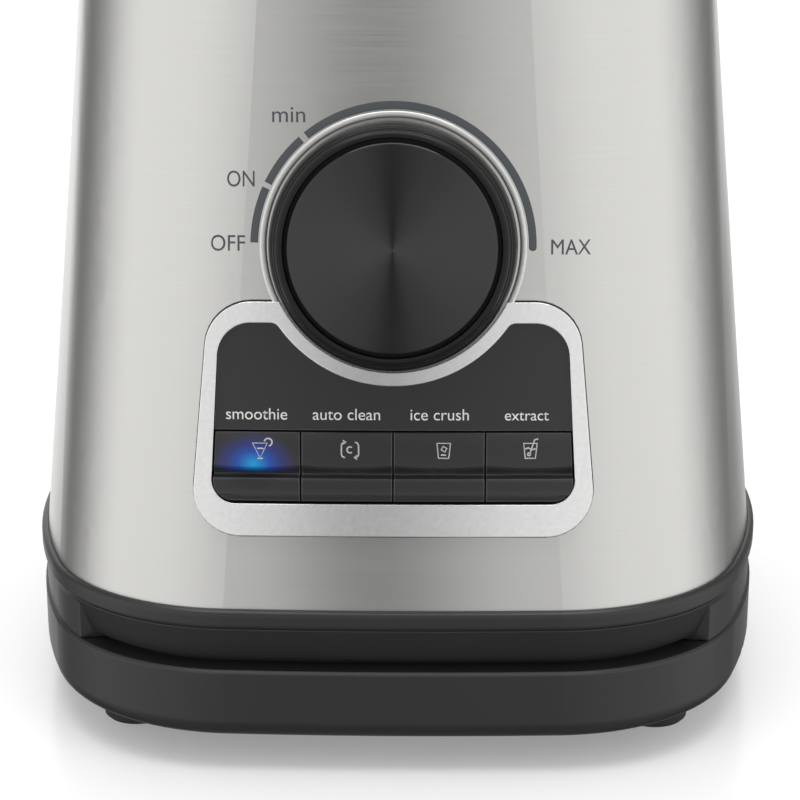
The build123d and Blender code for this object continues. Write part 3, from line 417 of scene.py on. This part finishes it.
# %% Clear jug
clear_jug, tree, shader = start_material("clear_jug")
skin = effect(tree, mottle, Color=(0.97, 0.985, 0.985, 1), Roughness=0.03, Scale=12.0, Color_Spread=0.02,
              Roughness_Spread=0.03)
tree.links.new(skin.outputs["Color"], shader.inputs["Base Color"])
tree.links.new(skin.outputs["Roughness"], shader.inputs["Roughness"])
shader.inputs["Transmission Weight"].default_value = 1.0
shader.inputs["IOR"].default_value = 1.47
print("clear jug", len(tree.nodes), "nodes")

# %% Lit diode
lit_diode, tree, shader = start_material("lit_diode")
skin = effect(tree, mottle, Color=(0.10, 0.45, 0.95, 1), Roughness=0.3, Scale=400.0, Color_Spread=0.3)
tree.links.new(skin.outputs["Color"], shader.inputs["Base Color"])
tree.links.new(skin.outputs["Color"], shader.inputs["Emission Color"])
shader.inputs["Emission Strength"].default_value = 1.5
print("lit diode", len(tree.nodes), "nodes")

# %% [markdown]
# The record names a material slot for every node. One table joins each slot to its finish, and each
# node's own material slots are then filled from it.

# %% Give every node its finish
finishes = {
    "brushed_shell": shell_steel, "satin_bezel": bezel_satin, "dark_body": body_plastic,
    "panel_dark": panel_plastic, "knob_ring": knob_gloss, "knob_face": knob_metal, "rubber": rubber_look,
    "clear_jug": clear_jug, "bright_steel": bright_steel, "plated_metal": cast_metal,
    "iron_stack": iron_stack, "copper": copper_wire, "carbon": carbon_look,
    "inner_plastic": inner_plastic, "board": board_look, "component": component_look,
    "light_guide": guide_look, "led": lit_diode,
}
for entry in frame["record"]["subparts"]:
    node = nodes[entry["node"]]
    look = blade_steel if entry["node"] == "blades" else finishes[entry["material_slot"]]
    for material_slot in node.material_slots:
        material_slot.material = look
print("dressed", len(nodes), "nodes with", len(finishes), "finishes")

# %% [markdown]
# Everything on the front is drawn flat first, as on a drawing board: x across, y up the face and z
# out of it, in millimetres. One matrix then carries a finished piece onto the leaning front. The
# knob's joint gives the face's direction, and the dial's centre gives its place.

# %% The front as a drawing board
knob_joint = next(joint for joint in frame["joints"] if joint["name"] == "knob_turn")
out = -Vector(knob_joint["axis"]).normalized()
upward = Vector((1, 0, 0)).cross(out) * -1.0
dial_height = 90.3  # from the foot of the board up the face to the dial's centre
foot_of_face = Vector(knob_joint["pos_m"]) - upward * dial_height * 0.001
board = Matrix((
    (0.001, upward.x * 0.001, out.x * 0.001, foot_of_face.x),
    (0.0, upward.y * 0.001, out.y * 0.001, foot_of_face.y),
    (0.0, upward.z * 0.001, out.z * 0.001, foot_of_face.z),
    (0, 0, 0, 1),
))
lean = math.degrees(math.asin(out.z))
print("face leans", round(lean, 2), "degrees, foot at", [round(v, 4) for v in foot_of_face])


# %% Shared modelling steps
def only(piece):
    """Selects one object alone and makes it active."""
    bpy.ops.object.select_all(action="DESELECT")
    piece.select_set(True)
    bpy.context.view_layer.objects.active = piece


def apply_all(piece):
    """Applies every modifier, in order."""
    only(piece)
    for modifier in list(piece.modifiers):
        bpy.ops.object.modifier_apply(modifier=modifier.name)


def tidy_mesh(piece, smooth):
    """Merges doubles, points the faces outwards and smooths all but sharp edges."""
    only(piece)
    bpy.ops.object.mode_set(mode="EDIT")
    bpy.ops.mesh.select_all(action="SELECT")
    bpy.ops.mesh.remove_doubles(threshold=0.0001)
    bpy.ops.mesh.normals_make_consistent(inside=False)
    bpy.ops.object.mode_set(mode="OBJECT")
    bpy.ops.object.shade_smooth_by_angle(angle=math.radians(smooth))


def hand_over(piece, name, body, look, stands_for=None, matrix=board):
    """Carries a finished piece to its place, names it, dresses it and ties it to its body."""
    piece.name = name
    piece.data.name = name
    piece.data.transform(matrix)
    piece.data.materials.clear()
    piece.data.materials.append(look)
    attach(piece, body)
    if stands_for:
        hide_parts(*stands_for)
    print(name, "faces", len(piece.data.polygons))


def turned(rings, sides=160):
    """Turns a closed piece: a circle is grown ring by ring, each a radius and a height."""
    bpy.ops.object.select_all(action="DESELECT")
    bpy.ops.mesh.primitive_circle_add(vertices=sides, radius=rings[0][0], location=(0, 0, 0))
    bpy.ops.object.mode_set(mode="EDIT")
    bpy.ops.mesh.select_all(action="SELECT")
    bpy.ops.transform.translate(value=(0, 0, rings[0][1]))
    for (radius, height), (next_radius, next_height) in zip(rings, rings[1:] + rings[:1]):
        bpy.ops.mesh.extrude_edges_move()
        grow = next_radius / radius
        bpy.ops.transform.resize(value=(grow, grow, 1.0), center_override=(0, 0, 0))
        bpy.ops.transform.translate(value=(0, 0, next_height - height))
    bpy.ops.object.mode_set(mode="OBJECT")
    return bpy.context.object


# %% [markdown]
# The knob is a black grip with a spun metal face let into it. The grip is turned like the real one:
# a steep wall, two thin steps that catch the light as rings, a rounded lip, and a deep groove before
# the face. It stands for the frame's plainer knob and rides on the same body, so it turns with it.

# %% Knob grip
to_dial = board @ Matrix.Translation((0, dial_height, 0))
grip_rings = [
    (3.0, 1.6), (8.0, 1.6), (8.0, 8.5), (25.0, 8.5), (27.4, 0.6), (29.7, 0.6), (30.0, 0.9), (30.0, 3.6),
    (29.85, 5.2), (29.7, 7.6), (29.45, 9.2), (29.1, 10.1), (28.75, 10.45), (28.5, 10.55), (28.42, 10.7),
    (28.38, 11.9), (28.3, 12.1), (28.05, 12.2), (27.85, 12.3), (27.78, 12.5), (27.72, 13.5), (27.6, 13.9),
    (27.3, 14.3), (26.9, 14.55), (26.5, 14.6), (26.15, 14.5), (25.95, 14.2), (25.9, 13.6),
    (25.9, 11.0), (3.0, 11.0),
]
grip = turned(grip_rings)
turned_smooth = 28.0  # degrees: sharper edges than this stay sharp
tidy_mesh(grip, turned_smooth)
hand_over(grip, "knob_grip", "knob", knob_gloss, ["knob_body"], to_dial)

# %% Knob face
face_rings = [
    (0.05, 11.0), (24.9, 11.0), (24.9, 14.1), (24.82, 14.4), (24.6, 14.58), (24.3, 14.62), (23.8, 14.6),
    (16.0, 14.52), (8.0, 14.48), (2.0, 14.46), (0.05, 14.46),
]
spun = turned(face_rings)
tidy_mesh(spun, turned_smooth)
hand_over(spun, "knob_spun_face", "knob", knob_metal, ["knob_disc"], to_dial)

# %% [markdown]
# Round the knob the steel is pressed into a narrow polished rim. It is a thin turned ring that sits
# in the shell's surface, sunk far enough that the shell's slight bow doesn't lift its sides.

# %% Knob rim
rim_steel = metal("rim_steel", (0.74, 0.74, 0.72), 0.42, (600.0, 600.0, 600.0), 0.01, spread=0.04)
rim_rings = [
    (30.7, -1.2), (32.4, -1.2), (32.4, -0.1), (32.2, 0.10), (31.9, 0.16), (31.0, 0.16), (30.75, 0.0),
]
rim = turned(rim_rings)
tidy_mesh(rim, 40.0)
hand_over(rim, "knob_rim", "base", rim_steel, None, to_dial)


# %% [markdown]
# The dial's scale and the words are printed. A print has almost no thickness, so each mark is a flat
# mesh laid on the surface by a Shrinkwrap modifier, then given a hair of thickness by Solidify. The
# words are short and generic, in the plain built-in font.


# %% Print helpers
ink_dark = plastic("ink_dark", (0.075, 0.085, 0.095), 0.5, grain=0.05, spread=0.08)
ink_light = plastic("ink_light", (0.82, 0.82, 0.83), 0.5, grain=0.05, spread=0.08)
ink_thickness = 0.00003


def lay_print(piece, name, surface, look):
    """Carries a flat mark onto the front, presses it on a surface and gives it ink's thickness."""
    hand_over(piece, name, "base", look)
    wrap = piece.modifiers.new("press", "SHRINKWRAP")
    wrap.target = surface
    wrap.wrap_method = "NEAREST_SURFACEPOINT"
    wrap.wrap_mode = "ABOVE_SURFACE"
    wrap.offset = ink_thickness
    ink = piece.modifiers.new("ink", "SOLIDIFY")
    ink.thickness = ink_thickness
    ink.offset = 1.0
    apply_all(piece)


def word(text, across, base_line, size, width=1.0):
    """A printed word as a flat mesh, centred on a place on the drawing board."""
    bpy.ops.object.select_all(action="DESELECT")
    bpy.ops.object.text_add(location=(0, 0, 0))
    made = bpy.context.object
    made.data.body = text
    made.data.size = size
    made.data.align_x = "CENTER"
    bpy.ops.object.convert(target="MESH")
    made = bpy.context.object
    made.data.transform(Matrix.Translation((across, base_line, 0.5)) @ Matrix.Diagonal((width, 1, 1, 1)))
    return made


def pick(piece, test, kind="VERT"):
    """Leaves edit mode and selects only the points, or the edges, that pass a test of place."""
    bpy.ops.object.mode_set(mode="EDIT")
    bpy.ops.mesh.select_mode(type=kind)
    bpy.ops.mesh.select_all(action="DESELECT")
    bpy.ops.object.mode_set(mode="OBJECT")
    mesh = piece.data
    for part in mesh.vertices if kind == "VERT" else mesh.edges:
        part.select = test(part.co if kind == "VERT" else [mesh.vertices[i].co for i in part.vertices])
    bpy.ops.object.mode_set(mode="EDIT")


def arc_band(outer, inner, first, last, round_end):
    """A flat band round the dial, spun from a short edge, from one angle to another in degrees."""
    bpy.ops.object.select_all(action="DESELECT")
    bpy.ops.mesh.primitive_plane_add(size=1.0, location=(0, 0, 0))
    band = bpy.context.object
    pick(band, lambda place: place.y > 0)
    bpy.ops.mesh.delete(type="VERT")
    bpy.ops.mesh.select_all(action="SELECT")
    bpy.ops.transform.resize(value=(outer - inner, 1, 1), center_override=(0, 0, 0))
    bpy.ops.transform.translate(value=((outer + inner) / 2, 0.5, 0.5))
    bpy.ops.mesh.spin(steps=round((first - last) / 2), angle=math.radians(first - last),
                      center=(0, 0, 0), axis=(0, 0, 1))
    bpy.ops.object.mode_set(mode="OBJECT")
    # the spin may go either way round, so the band is turned to start at the right end
    far = max(band.data.vertices, key=lambda point: abs(math.atan2(point.co.y, point.co.x)))
    swept = math.degrees(math.atan2(far.co.y, far.co.x))
    band.data.transform(Matrix.Rotation(math.radians(first if swept < 0 else last), 4, "Z"))
    if round_end:
        end = Vector((math.cos(math.radians(last)), math.sin(math.radians(last)), 0))
        pick(band, lambda place: place.xy.normalized().dot(end.xy) > 0.99998)
        bpy.ops.mesh.bevel(offset=(outer - inner) * 0.45, segments=5, affect="VERTICES")
        bpy.ops.object.mode_set(mode="OBJECT")
    band.data.transform(Matrix.Translation((0, dial_height, 0)))
    return band


# %% Dial scale
shell = nodes["steel_shell"]
scale_outside, scale_inside = 34.7, 32.8
for index, (first, last) in enumerate(((178.8, 155.8), (153.7, 131.1), (128.5, -2.0))):
    mark = arc_band(scale_outside, scale_inside, first, last, index == 2)
    lay_print(mark, f"dial_mark_{index}", shell, ink_dark)
for text, across, base_line, size, width, name in (
    ("OFF", -40.4, 89.0, 5.5, 0.94, "word_off"), ("ON", -36.9, 104.5, 5.5, 0.84, "word_on"),
    ("min", -25.2, 119.9, 5.6, 1.04, "word_min"), ("MAX", 43.3, 88.3, 5.3, 0.94, "word_max"),
):
    lay_print(word(text, across, base_line, size, width), name, shell, ink_dark)

# %% Key words
plate = nodes["panel_plate"]
key_pitch = 22.6
key_names = ("smoothie", "clean", "ice", "extract")
word_line = 47.85
key_centres = dict(zip(key_names, [(index - 1.5) * key_pitch for index in range(4)]))
for key_name, text, size, shift in (
    ("smoothie", "smoothie", 4.05, 0.5), ("clean", "auto clean", 4.05, 0.0),
    ("ice", "ice crush", 4.05, 0.1), ("extract", "extract", 3.75, -1.3),
):
    key_word = word(text, key_centres[key_name] + shift, word_line, size)
    lay_print(key_word, f"word_{key_name}", plate, ink_light)

# %% [markdown]
# The front is not flat: it bows gently from side to side, and falls away faster where its corners
# start. New pieces are modelled flat, and a small function then lowers each point by the same
# curve, so that keys, lines and pictures all sit on the real surface.


# %% Follow the bow
front_bow, corner_bow = 900.0, 52.0  # radii
flat_at_foot, flat_narrowing = 42.0, 0.0673  # half width of the gentle bow, and its loss up the face


def bow_drop(across, up, corners=True):
    """How far the front has fallen back, at a place on the drawing board."""
    flat_half = flat_at_foot - flat_narrowing * up if corners else 100.0
    level, beyond = min(abs(across), flat_half), max(abs(across) - flat_half, 0.0)
    return level**2 / (2 * front_bow) + beyond * level / front_bow + beyond**2 / (2 * corner_bow)


def settle(piece, corners):
    """Lowers each point of a flat piece on to the bowed front."""
    for point in piece.data.vertices:
        point.co.z -= bow_drop(point.co.x, point.co.y, corners)


print("fall at a panel corner", round(bow_drop(44.9, 27.0), 2), "mm")

# %% [markdown]
# The four keys are moulded with a flat top, a dark scoop for the fingertip and a ridge along the
# foot. All four have one side profile, so a row of edges is pulled along that profile to make one
# key, and the scoop's upper edge is then drawn down in the middle. The outer two are copies that
# are trimmed by the panel's rounded outline with a Boolean modifier.

# %% One key
key_gap = 0.5
key_width = key_pitch - key_gap
key_columns = 14
key_profile = (
    (44.8, -1.4), (44.8, 0.50), (44.7, 0.70), (44.4, 0.80), (41.0, 0.80), (37.4, 0.80), (37.0, 0.86),
    (36.6, 0.84), (36.3, 0.66), (36.1, 0.36), (35.5, 0.02), (34.8, -0.28), (34.3, -0.36), (34.0, -0.10),
    (33.8, 0.60), (33.65, 1.35), (33.45, 1.76), (33.15, 1.90), (32.7, 1.88), (31.2, 1.74), (29.9, 1.52),
    (29.6, 1.56), (29.35, 1.50), (29.2, 1.2), (29.0, 1.05), (28.1, 0.86), (27.75, 0.72), (27.55, 0.40),
    (27.5, -1.4),
)
bpy.ops.object.select_all(action="DESELECT")
bpy.ops.mesh.primitive_grid_add(x_subdivisions=key_columns, y_subdivisions=1, size=1.0,
                                location=(0, 0, 0))
key_block = bpy.context.object
pick(key_block, lambda place: place.y > 0)
bpy.ops.mesh.delete(type="VERT")
bpy.ops.mesh.select_all(action="SELECT")
bpy.ops.transform.resize(value=(key_width, 1, 1), center_override=(0, 0, 0))
bpy.ops.transform.translate(value=(0, key_profile[0][0] + 0.5, key_profile[0][1]))
for (up, rise), (next_up, next_rise) in zip(key_profile, key_profile[1:] + key_profile[:1]):
    bpy.ops.mesh.extrude_edges_move()
    bpy.ops.transform.translate(value=(0, next_up - up, next_rise - rise))
bpy.ops.mesh.select_all(action="SELECT")
bpy.ops.mesh.remove_doubles(threshold=0.001)
for side in (-1, 1):
    pick(key_block, lambda place: abs(place.x - side * key_width / 2) < 0.01)
    bpy.ops.mesh.edge_face_add()

# %% Draw the scoop down
scoop_bow = 0.55
for column in range(1, key_columns):
    across = key_width * (column / key_columns - 0.5)
    pick(key_block, lambda place: abs(place.x - across) < 0.1 and 35.0 < place.y < 38.0)
    bpy.ops.transform.translate(value=(0, -scoop_bow * (1 - (2 * across / key_width) ** 2), 0))
bpy.ops.object.mode_set(mode="OBJECT")
print("key block points", len(key_block.data.vertices))

# %% Panel outline to trim with
trim_foot, trim_head, foot_half, head_half = 27.5, 60.0, 44.4, 42.63
panel_round, trim_depth = 5.6, 12.0
bpy.ops.object.select_all(action="DESELECT")
bpy.ops.mesh.primitive_cube_add(size=1.0, location=(0, 0, 0))
trimmer = bpy.context.object
bpy.ops.object.mode_set(mode="EDIT")
bpy.ops.transform.resize(value=(2 * foot_half, trim_head - trim_foot, trim_depth),
                         center_override=(0, 0, 0))
bpy.ops.transform.translate(value=(0, (trim_head + trim_foot) / 2, 0))
pick(trimmer, lambda place: place.y > 50)
bpy.ops.transform.resize(value=(head_half / foot_half, 1, 1), center_override=(0, 0, 0))
pick(trimmer, lambda ends: ends[0].y < 30 and (ends[0] - ends[1]).xy.length < 0.01, "EDGE")
bpy.ops.mesh.bevel(offset=panel_round, segments=10, affect="EDGES")
bpy.ops.object.mode_set(mode="OBJECT")
print("panel outline", 2 * foot_half, "mm wide at the foot")

# %% [markdown]
# The smoothie key is the one that is on. Its lamp shines through the flat of the key, bright at the
# foot of the picture and fading outwards from pale blue to violet. The glow is an emission colour
# read from the distance to the lamp, so the plastic round it stays dark. The plastic's own colour
# is dimmed close to the lamp, which keeps the blue deep.

# %% Lit key plastic
lit_plastic = panel_plastic.copy()
lit_plastic.name = "lit_plastic"
tree = lit_plastic.node_tree
shader = next(node for node in tree.nodes if node.type == "BSDF_PRINCIPLED")
lamp_across, lamp_up, key_flat = key_centres["smoothie"] - 0.3, 36.9, 0.8
lamp = board @ Vector((lamp_across, lamp_up, key_flat - bow_drop(key_centres["smoothie"], lamp_up)))
place = put(tree, "ShaderNodeTexCoord").outputs["Object"]
away_from_lamp = put(tree, "ShaderNodeVectorMath", {0: place}, {"operation": "SUBTRACT"})
away_from_lamp.inputs[1].default_value = lamp
flattened = put(tree, "ShaderNodeVectorMath", {0: away_from_lamp.outputs[0]}, {"operation": "MULTIPLY"})
flattened.inputs[1].default_value = (1.0, 1.0, 1.35)
distance = put(tree, "ShaderNodeVectorMath", {0: flattened.outputs[0]}, {"operation": "LENGTH"})
per_halo, per_dimming, per_edge = 90.0, 110.0, 500.0  # one over a length in metres
halo = ramp(tree, maths(tree, "MULTIPLY", distance.outputs["Value"], per_halo), (
    (0.0, (0.0, 0.34, 0.70)), (0.16, (0.0, 0.20, 0.54)), (0.36, (0.0, 0.06, 0.36)),
    (0.60, (0.006, 0.018, 0.15)), (0.85, (0.004, 0.004, 0.03)), (1.0, (0.0, 0.0, 0.0)),
))
height = put(tree, "ShaderNodeSeparateXYZ", {0: place}).outputs["Z"]
scoop_edge = (board @ Vector((0, 34.4, 0))).z
above_edge = maths(tree, "MULTIPLY", maths(tree, "SUBTRACT", height, scoop_edge), per_edge)
above_scoop = ramp(tree, above_edge, ((0.0, 0.0), (1.0, 1.0)))
glow = put(tree, "ShaderNodeVectorMath", {0: halo, 1: above_scoop}, {"operation": "MULTIPLY"})
tree.links.new(glow.outputs[0], shader.inputs["Emission Color"])
paint = shader.inputs["Base Color"].links[0].from_socket
dimmed = put(tree, "ShaderNodeVectorMath", {0: paint}, {"operation": "SCALE"})
dimming = maths(tree, "MINIMUM", maths(tree, "MULTIPLY", distance.outputs["Value"], per_dimming), 1.0)
tree.links.new(dimming, dimmed.inputs["Scale"])
tree.links.new(dimmed.outputs[0], shader.inputs["Base Color"])
shader.inputs["Emission Strength"].default_value = 0.85
print("lamp at", [round(v, 4) for v in lamp])

# %% Four keys
for key_name, centre in key_centres.items():
    key = key_block.copy()
    key.data = key_block.data.copy()
    scene.collection.objects.link(key)
    key.data.transform(Matrix.Translation((centre, 0, 0)))
    if abs(centre) > key_pitch:
        trim = key.modifiers.new("trim", "BOOLEAN")
        trim.operation, trim.solver, trim.object = "INTERSECT", "EXACT", trimmer
        apply_all(key)
    settle(key, corners=False)
    tidy_mesh(key, 30.0)
    look = lit_plastic if key_name == "smoothie" else panel_plastic
    hand_over(key, f"{key_name}_key_cap", f"{key_name}_key_body", look, [f"{key_name}_key"])
for spent in (key_block, trimmer):
    bpy.data.objects.remove(spent)

# %% [markdown]
# Each key has a small picture of its program, drawn with thin strokes. A stroke is a curve with a
# round section, pressed almost flat, so it has a clean outline and a little body, like thick ink.


# %% Strokes
def strokes(lines, across, up, radius, rise, flatten=0.12, corners=False):
    """Draws lines of points, each open or closed, as thin flat strokes round a place on the front."""
    drawn = bpy.data.curves.new("strokes", "CURVE")
    drawn.dimensions = "3D"
    drawn.bevel_depth = radius
    drawn.bevel_resolution = 2
    drawn.use_fill_caps = True
    for points, closed in lines:
        line = drawn.splines.new("POLY")
        line.points.add(len(points) - 1)
        line.use_cyclic_u = closed
        for point, (x, y) in zip(line.points, points):
            point.co = (x, y, 0, 1)
    holder = bpy.data.objects.new("strokes", drawn)
    scene.collection.objects.link(holder)
    only(holder)
    bpy.ops.object.convert(target="MESH")
    made = bpy.context.object
    made.data.transform(Matrix.Translation((across, up, rise)) @ Matrix.Diagonal((1, 1, flatten, 1)))
    settle(made, corners)
    return made


def arc_points(x, y, radius, first, last, steps):
    """Points round an arc, from one angle to another in degrees."""
    return [
        (x + radius * math.cos(math.radians(first + (last - first) * step / steps)),
         y + radius * math.sin(math.radians(first + (last - first) * step / steps)))
        for step in range(steps + 1)
    ]


# %% Key pictures
tumbler = ([(-1.65, 1.7), (1.65, 1.7), (1.25, -2.0), (-1.25, -2.0)], True)
pictures = {
    "smoothie": [
        ([(-2.1, 1.5), (1.5, 1.5), (-0.25, -2.2)], True), ([(-1.0, 0.2), (0.55, 0.2)], False),
        (arc_points(1.75, 1.75, 0.95, -80, 170, 14), False), ([(-0.9, -2.3), (0.4, -2.3)], False),
    ],
    "clean": [
        (arc_points(-1.2, 1.0, 0.9, 90, 180, 5) + arc_points(-1.2, -1.0, 0.9, 180, 270, 5), False),
        (arc_points(1.2, -1.0, 0.9, -90, 0, 5) + arc_points(1.2, 1.0, 0.9, 0, 90, 5), False),
        ([(-1.75, 2.35), (-1.0, 1.9), (-1.75, 1.4)], False),
        ([(1.75, -2.35), (1.0, -1.9), (1.75, -1.4)], False),
        (arc_points(0.0, 0.0, 0.75, 50, 310, 12), False),
    ],
    "ice": [
        tumbler, ([(-0.15, 0.95), (0.75, 0.45), (0.3, -0.45), (-0.6, 0.05)], True),
        ([(-0.7, -1.2), (0.6, -1.2)], False),
    ],
    "extract": [
        tumbler, ([(-1.3, 0.3), (-0.5, 0.6), (0.4, 0.1), (1.3, 0.4)], False),
        ([(-0.1, -0.8), (1.0, 2.6), (1.9, 2.8)], False), (arc_points(-0.3, -1.0, 0.35, 0, 330, 10), True),
    ],
}
shifts = {"smoothie": 1.6, "clean": 0.8, "ice": 1.1, "extract": -0.3}
picture_line, stroke_radius, stroke_rise = 40.5, 0.19, 0.82
for key_name, lines in pictures.items():
    across = key_centres[key_name] + shifts[key_name]
    picture = strokes(lines, across, picture_line, stroke_radius, stroke_rise)
    hand_over(picture, f"{key_name}_picture", f"{key_name}_key_body", ink_light)

# %% [markdown]
# A thin near-black line, a painted shadow of the narrow gap, runs round the outside of the bezel where it meets
# the steel. It follows the panel's own outline, two straight sides and four rounded corners, and stops at the
# knob's rim on both sides.


# %% Panel outline
def round_corner(before, corner, after, radius, steps=8):
    """Points round a corner of a straight-sided outline."""
    to_before, to_after = (before - corner).normalized(), (after - corner).normalized()
    half = to_before.angle(to_after) / 2
    centre = corner + (to_before + to_after).normalized() * radius / math.sin(half)
    first = (corner + to_before * radius / math.tan(half) - centre).normalized()
    last = (corner + to_after * radius / math.tan(half) - centre).normalized()
    return [centre + first.slerp(last, step / steps) * radius for step in range(steps + 1)]


gap_shadow_out, gap_shadow_radius, gap_shadow_rise = 0.14, 0.27, 0.12
foot, head = 19.0 - gap_shadow_out, 76.75 + gap_shadow_out
foot_side, head_side, corner_round = 50.1 + gap_shadow_out, 44.9 + gap_shadow_out, 11.6
low_corner, high_corner = Vector((foot_side, foot)), Vector((head_side, head))
knob_clear = 30.9
meeting = math.sqrt(knob_clear**2 - (dial_height - head) ** 2)
kept = [Vector((0, foot))]
kept += round_corner(Vector((0, foot)), low_corner, high_corner, corner_round)
kept += round_corner(low_corner, high_corner, Vector((0, head)), corner_round)
kept.append(Vector((meeting, head)))
gap_shadow_path = [(-x, y) for x, y in reversed(kept[1:])] + kept
gap_shadow = strokes([(gap_shadow_path, False)], 0.0, 0.0, gap_shadow_radius, gap_shadow_rise, flatten=1.0, corners=True)
# Painted shadow: this near-black stroke stands for the shaded gap between the bezel and the steel.
gap_shadow_black = plastic("gap_shadow_black", (0.010, 0.010, 0.010), 0.5, grain=0.05, spread=0.1, edge=0.0001)
hand_over(gap_shadow, "bezel_gap_shadow", "base", gap_shadow_black)

# %% [markdown]
# The jug carries a measuring scale, printed on its flat front. The marks stand at the heights where
# the tapering jug really holds each amount, which a short sum over thin layers finds.

# %% Measuring scale heights
jug_low, jug_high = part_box("jug")
jug_foot, jug_rim = jug_low.z * 1000 + 4.0, jug_high.z * 1000
foot_width, rim_width = 98.0, 132.0
floor_height, free_top, corner_share = 8.0, 14.0, 0.94  # rounded corners leave 94% of a square
scale_heights, filled, level = {}, 0.0, jug_foot + floor_height
while level < jug_rim - free_top:
    width = foot_width + (rim_width - foot_width) * (level - jug_foot) / (jug_rim - jug_foot)
    before, filled = filled, filled + width * width * corner_share / 1000.0
    if before // 250 != filled // 250:
        scale_heights[int(filled // 250) * 250] = level
    level += 1.0
print("scale", {amount: round(height, 1) for amount, height in scale_heights.items()})

# %% Measuring scale
before_jug = -0.0755  # the flat marks start in front of the jug and are pressed back on it
jug_board = Matrix(((0.001, 0, 0, 0), (0, 0, -0.001, before_jug), (0, 0.001, 0, 0), (0, 0, 0, 1)))
jug_ink_thickness = 0.00004


def lay_on_jug(piece, name):
    """Prints a mark on the front of the jug."""
    hand_over(piece, name, "jug", ink_light, None, jug_board)
    wrap = piece.modifiers.new("press", "SHRINKWRAP")
    wrap.target = nodes["jug"]
    wrap.wrap_method = "PROJECT"
    wrap.use_project_y = True
    wrap.use_positive_direction = True
    wrap.use_negative_direction = False
    wrap.offset = jug_ink_thickness
    ink = piece.modifiers.new("ink", "SOLIDIFY")
    ink.thickness = jug_ink_thickness
    apply_all(piece)


long_length, short_length, mark_thickness = 18.0, 10.0, 0.7
number_across, number_drop, number_size = 16.0, 2.0, 6.0
for amount, height in scale_heights.items():
    long_mark = amount % 500 == 0
    mark_length = long_length if long_mark else short_length
    bpy.ops.object.select_all(action="DESELECT")
    bpy.ops.mesh.primitive_plane_add(size=1.0, location=(0, 0, 0))
    mark = bpy.context.object
    bpy.ops.object.mode_set(mode="EDIT")
    bpy.ops.transform.resize(value=(mark_length, mark_thickness, 1), center_override=(0, 0, 0))
    bpy.ops.transform.translate(value=((short_length - mark_length) / 2, height, 0))
    bpy.ops.mesh.bevel(offset=0.3, segments=3, affect="VERTICES")
    bpy.ops.object.mode_set(mode="OBJECT")
    lay_on_jug(mark, f"scale_mark_{amount}")
    if long_mark:
        number_word = word(f"{amount}", number_across, height - number_drop, number_size)
        lay_on_jug(number_word, f"scale_number_{amount}")
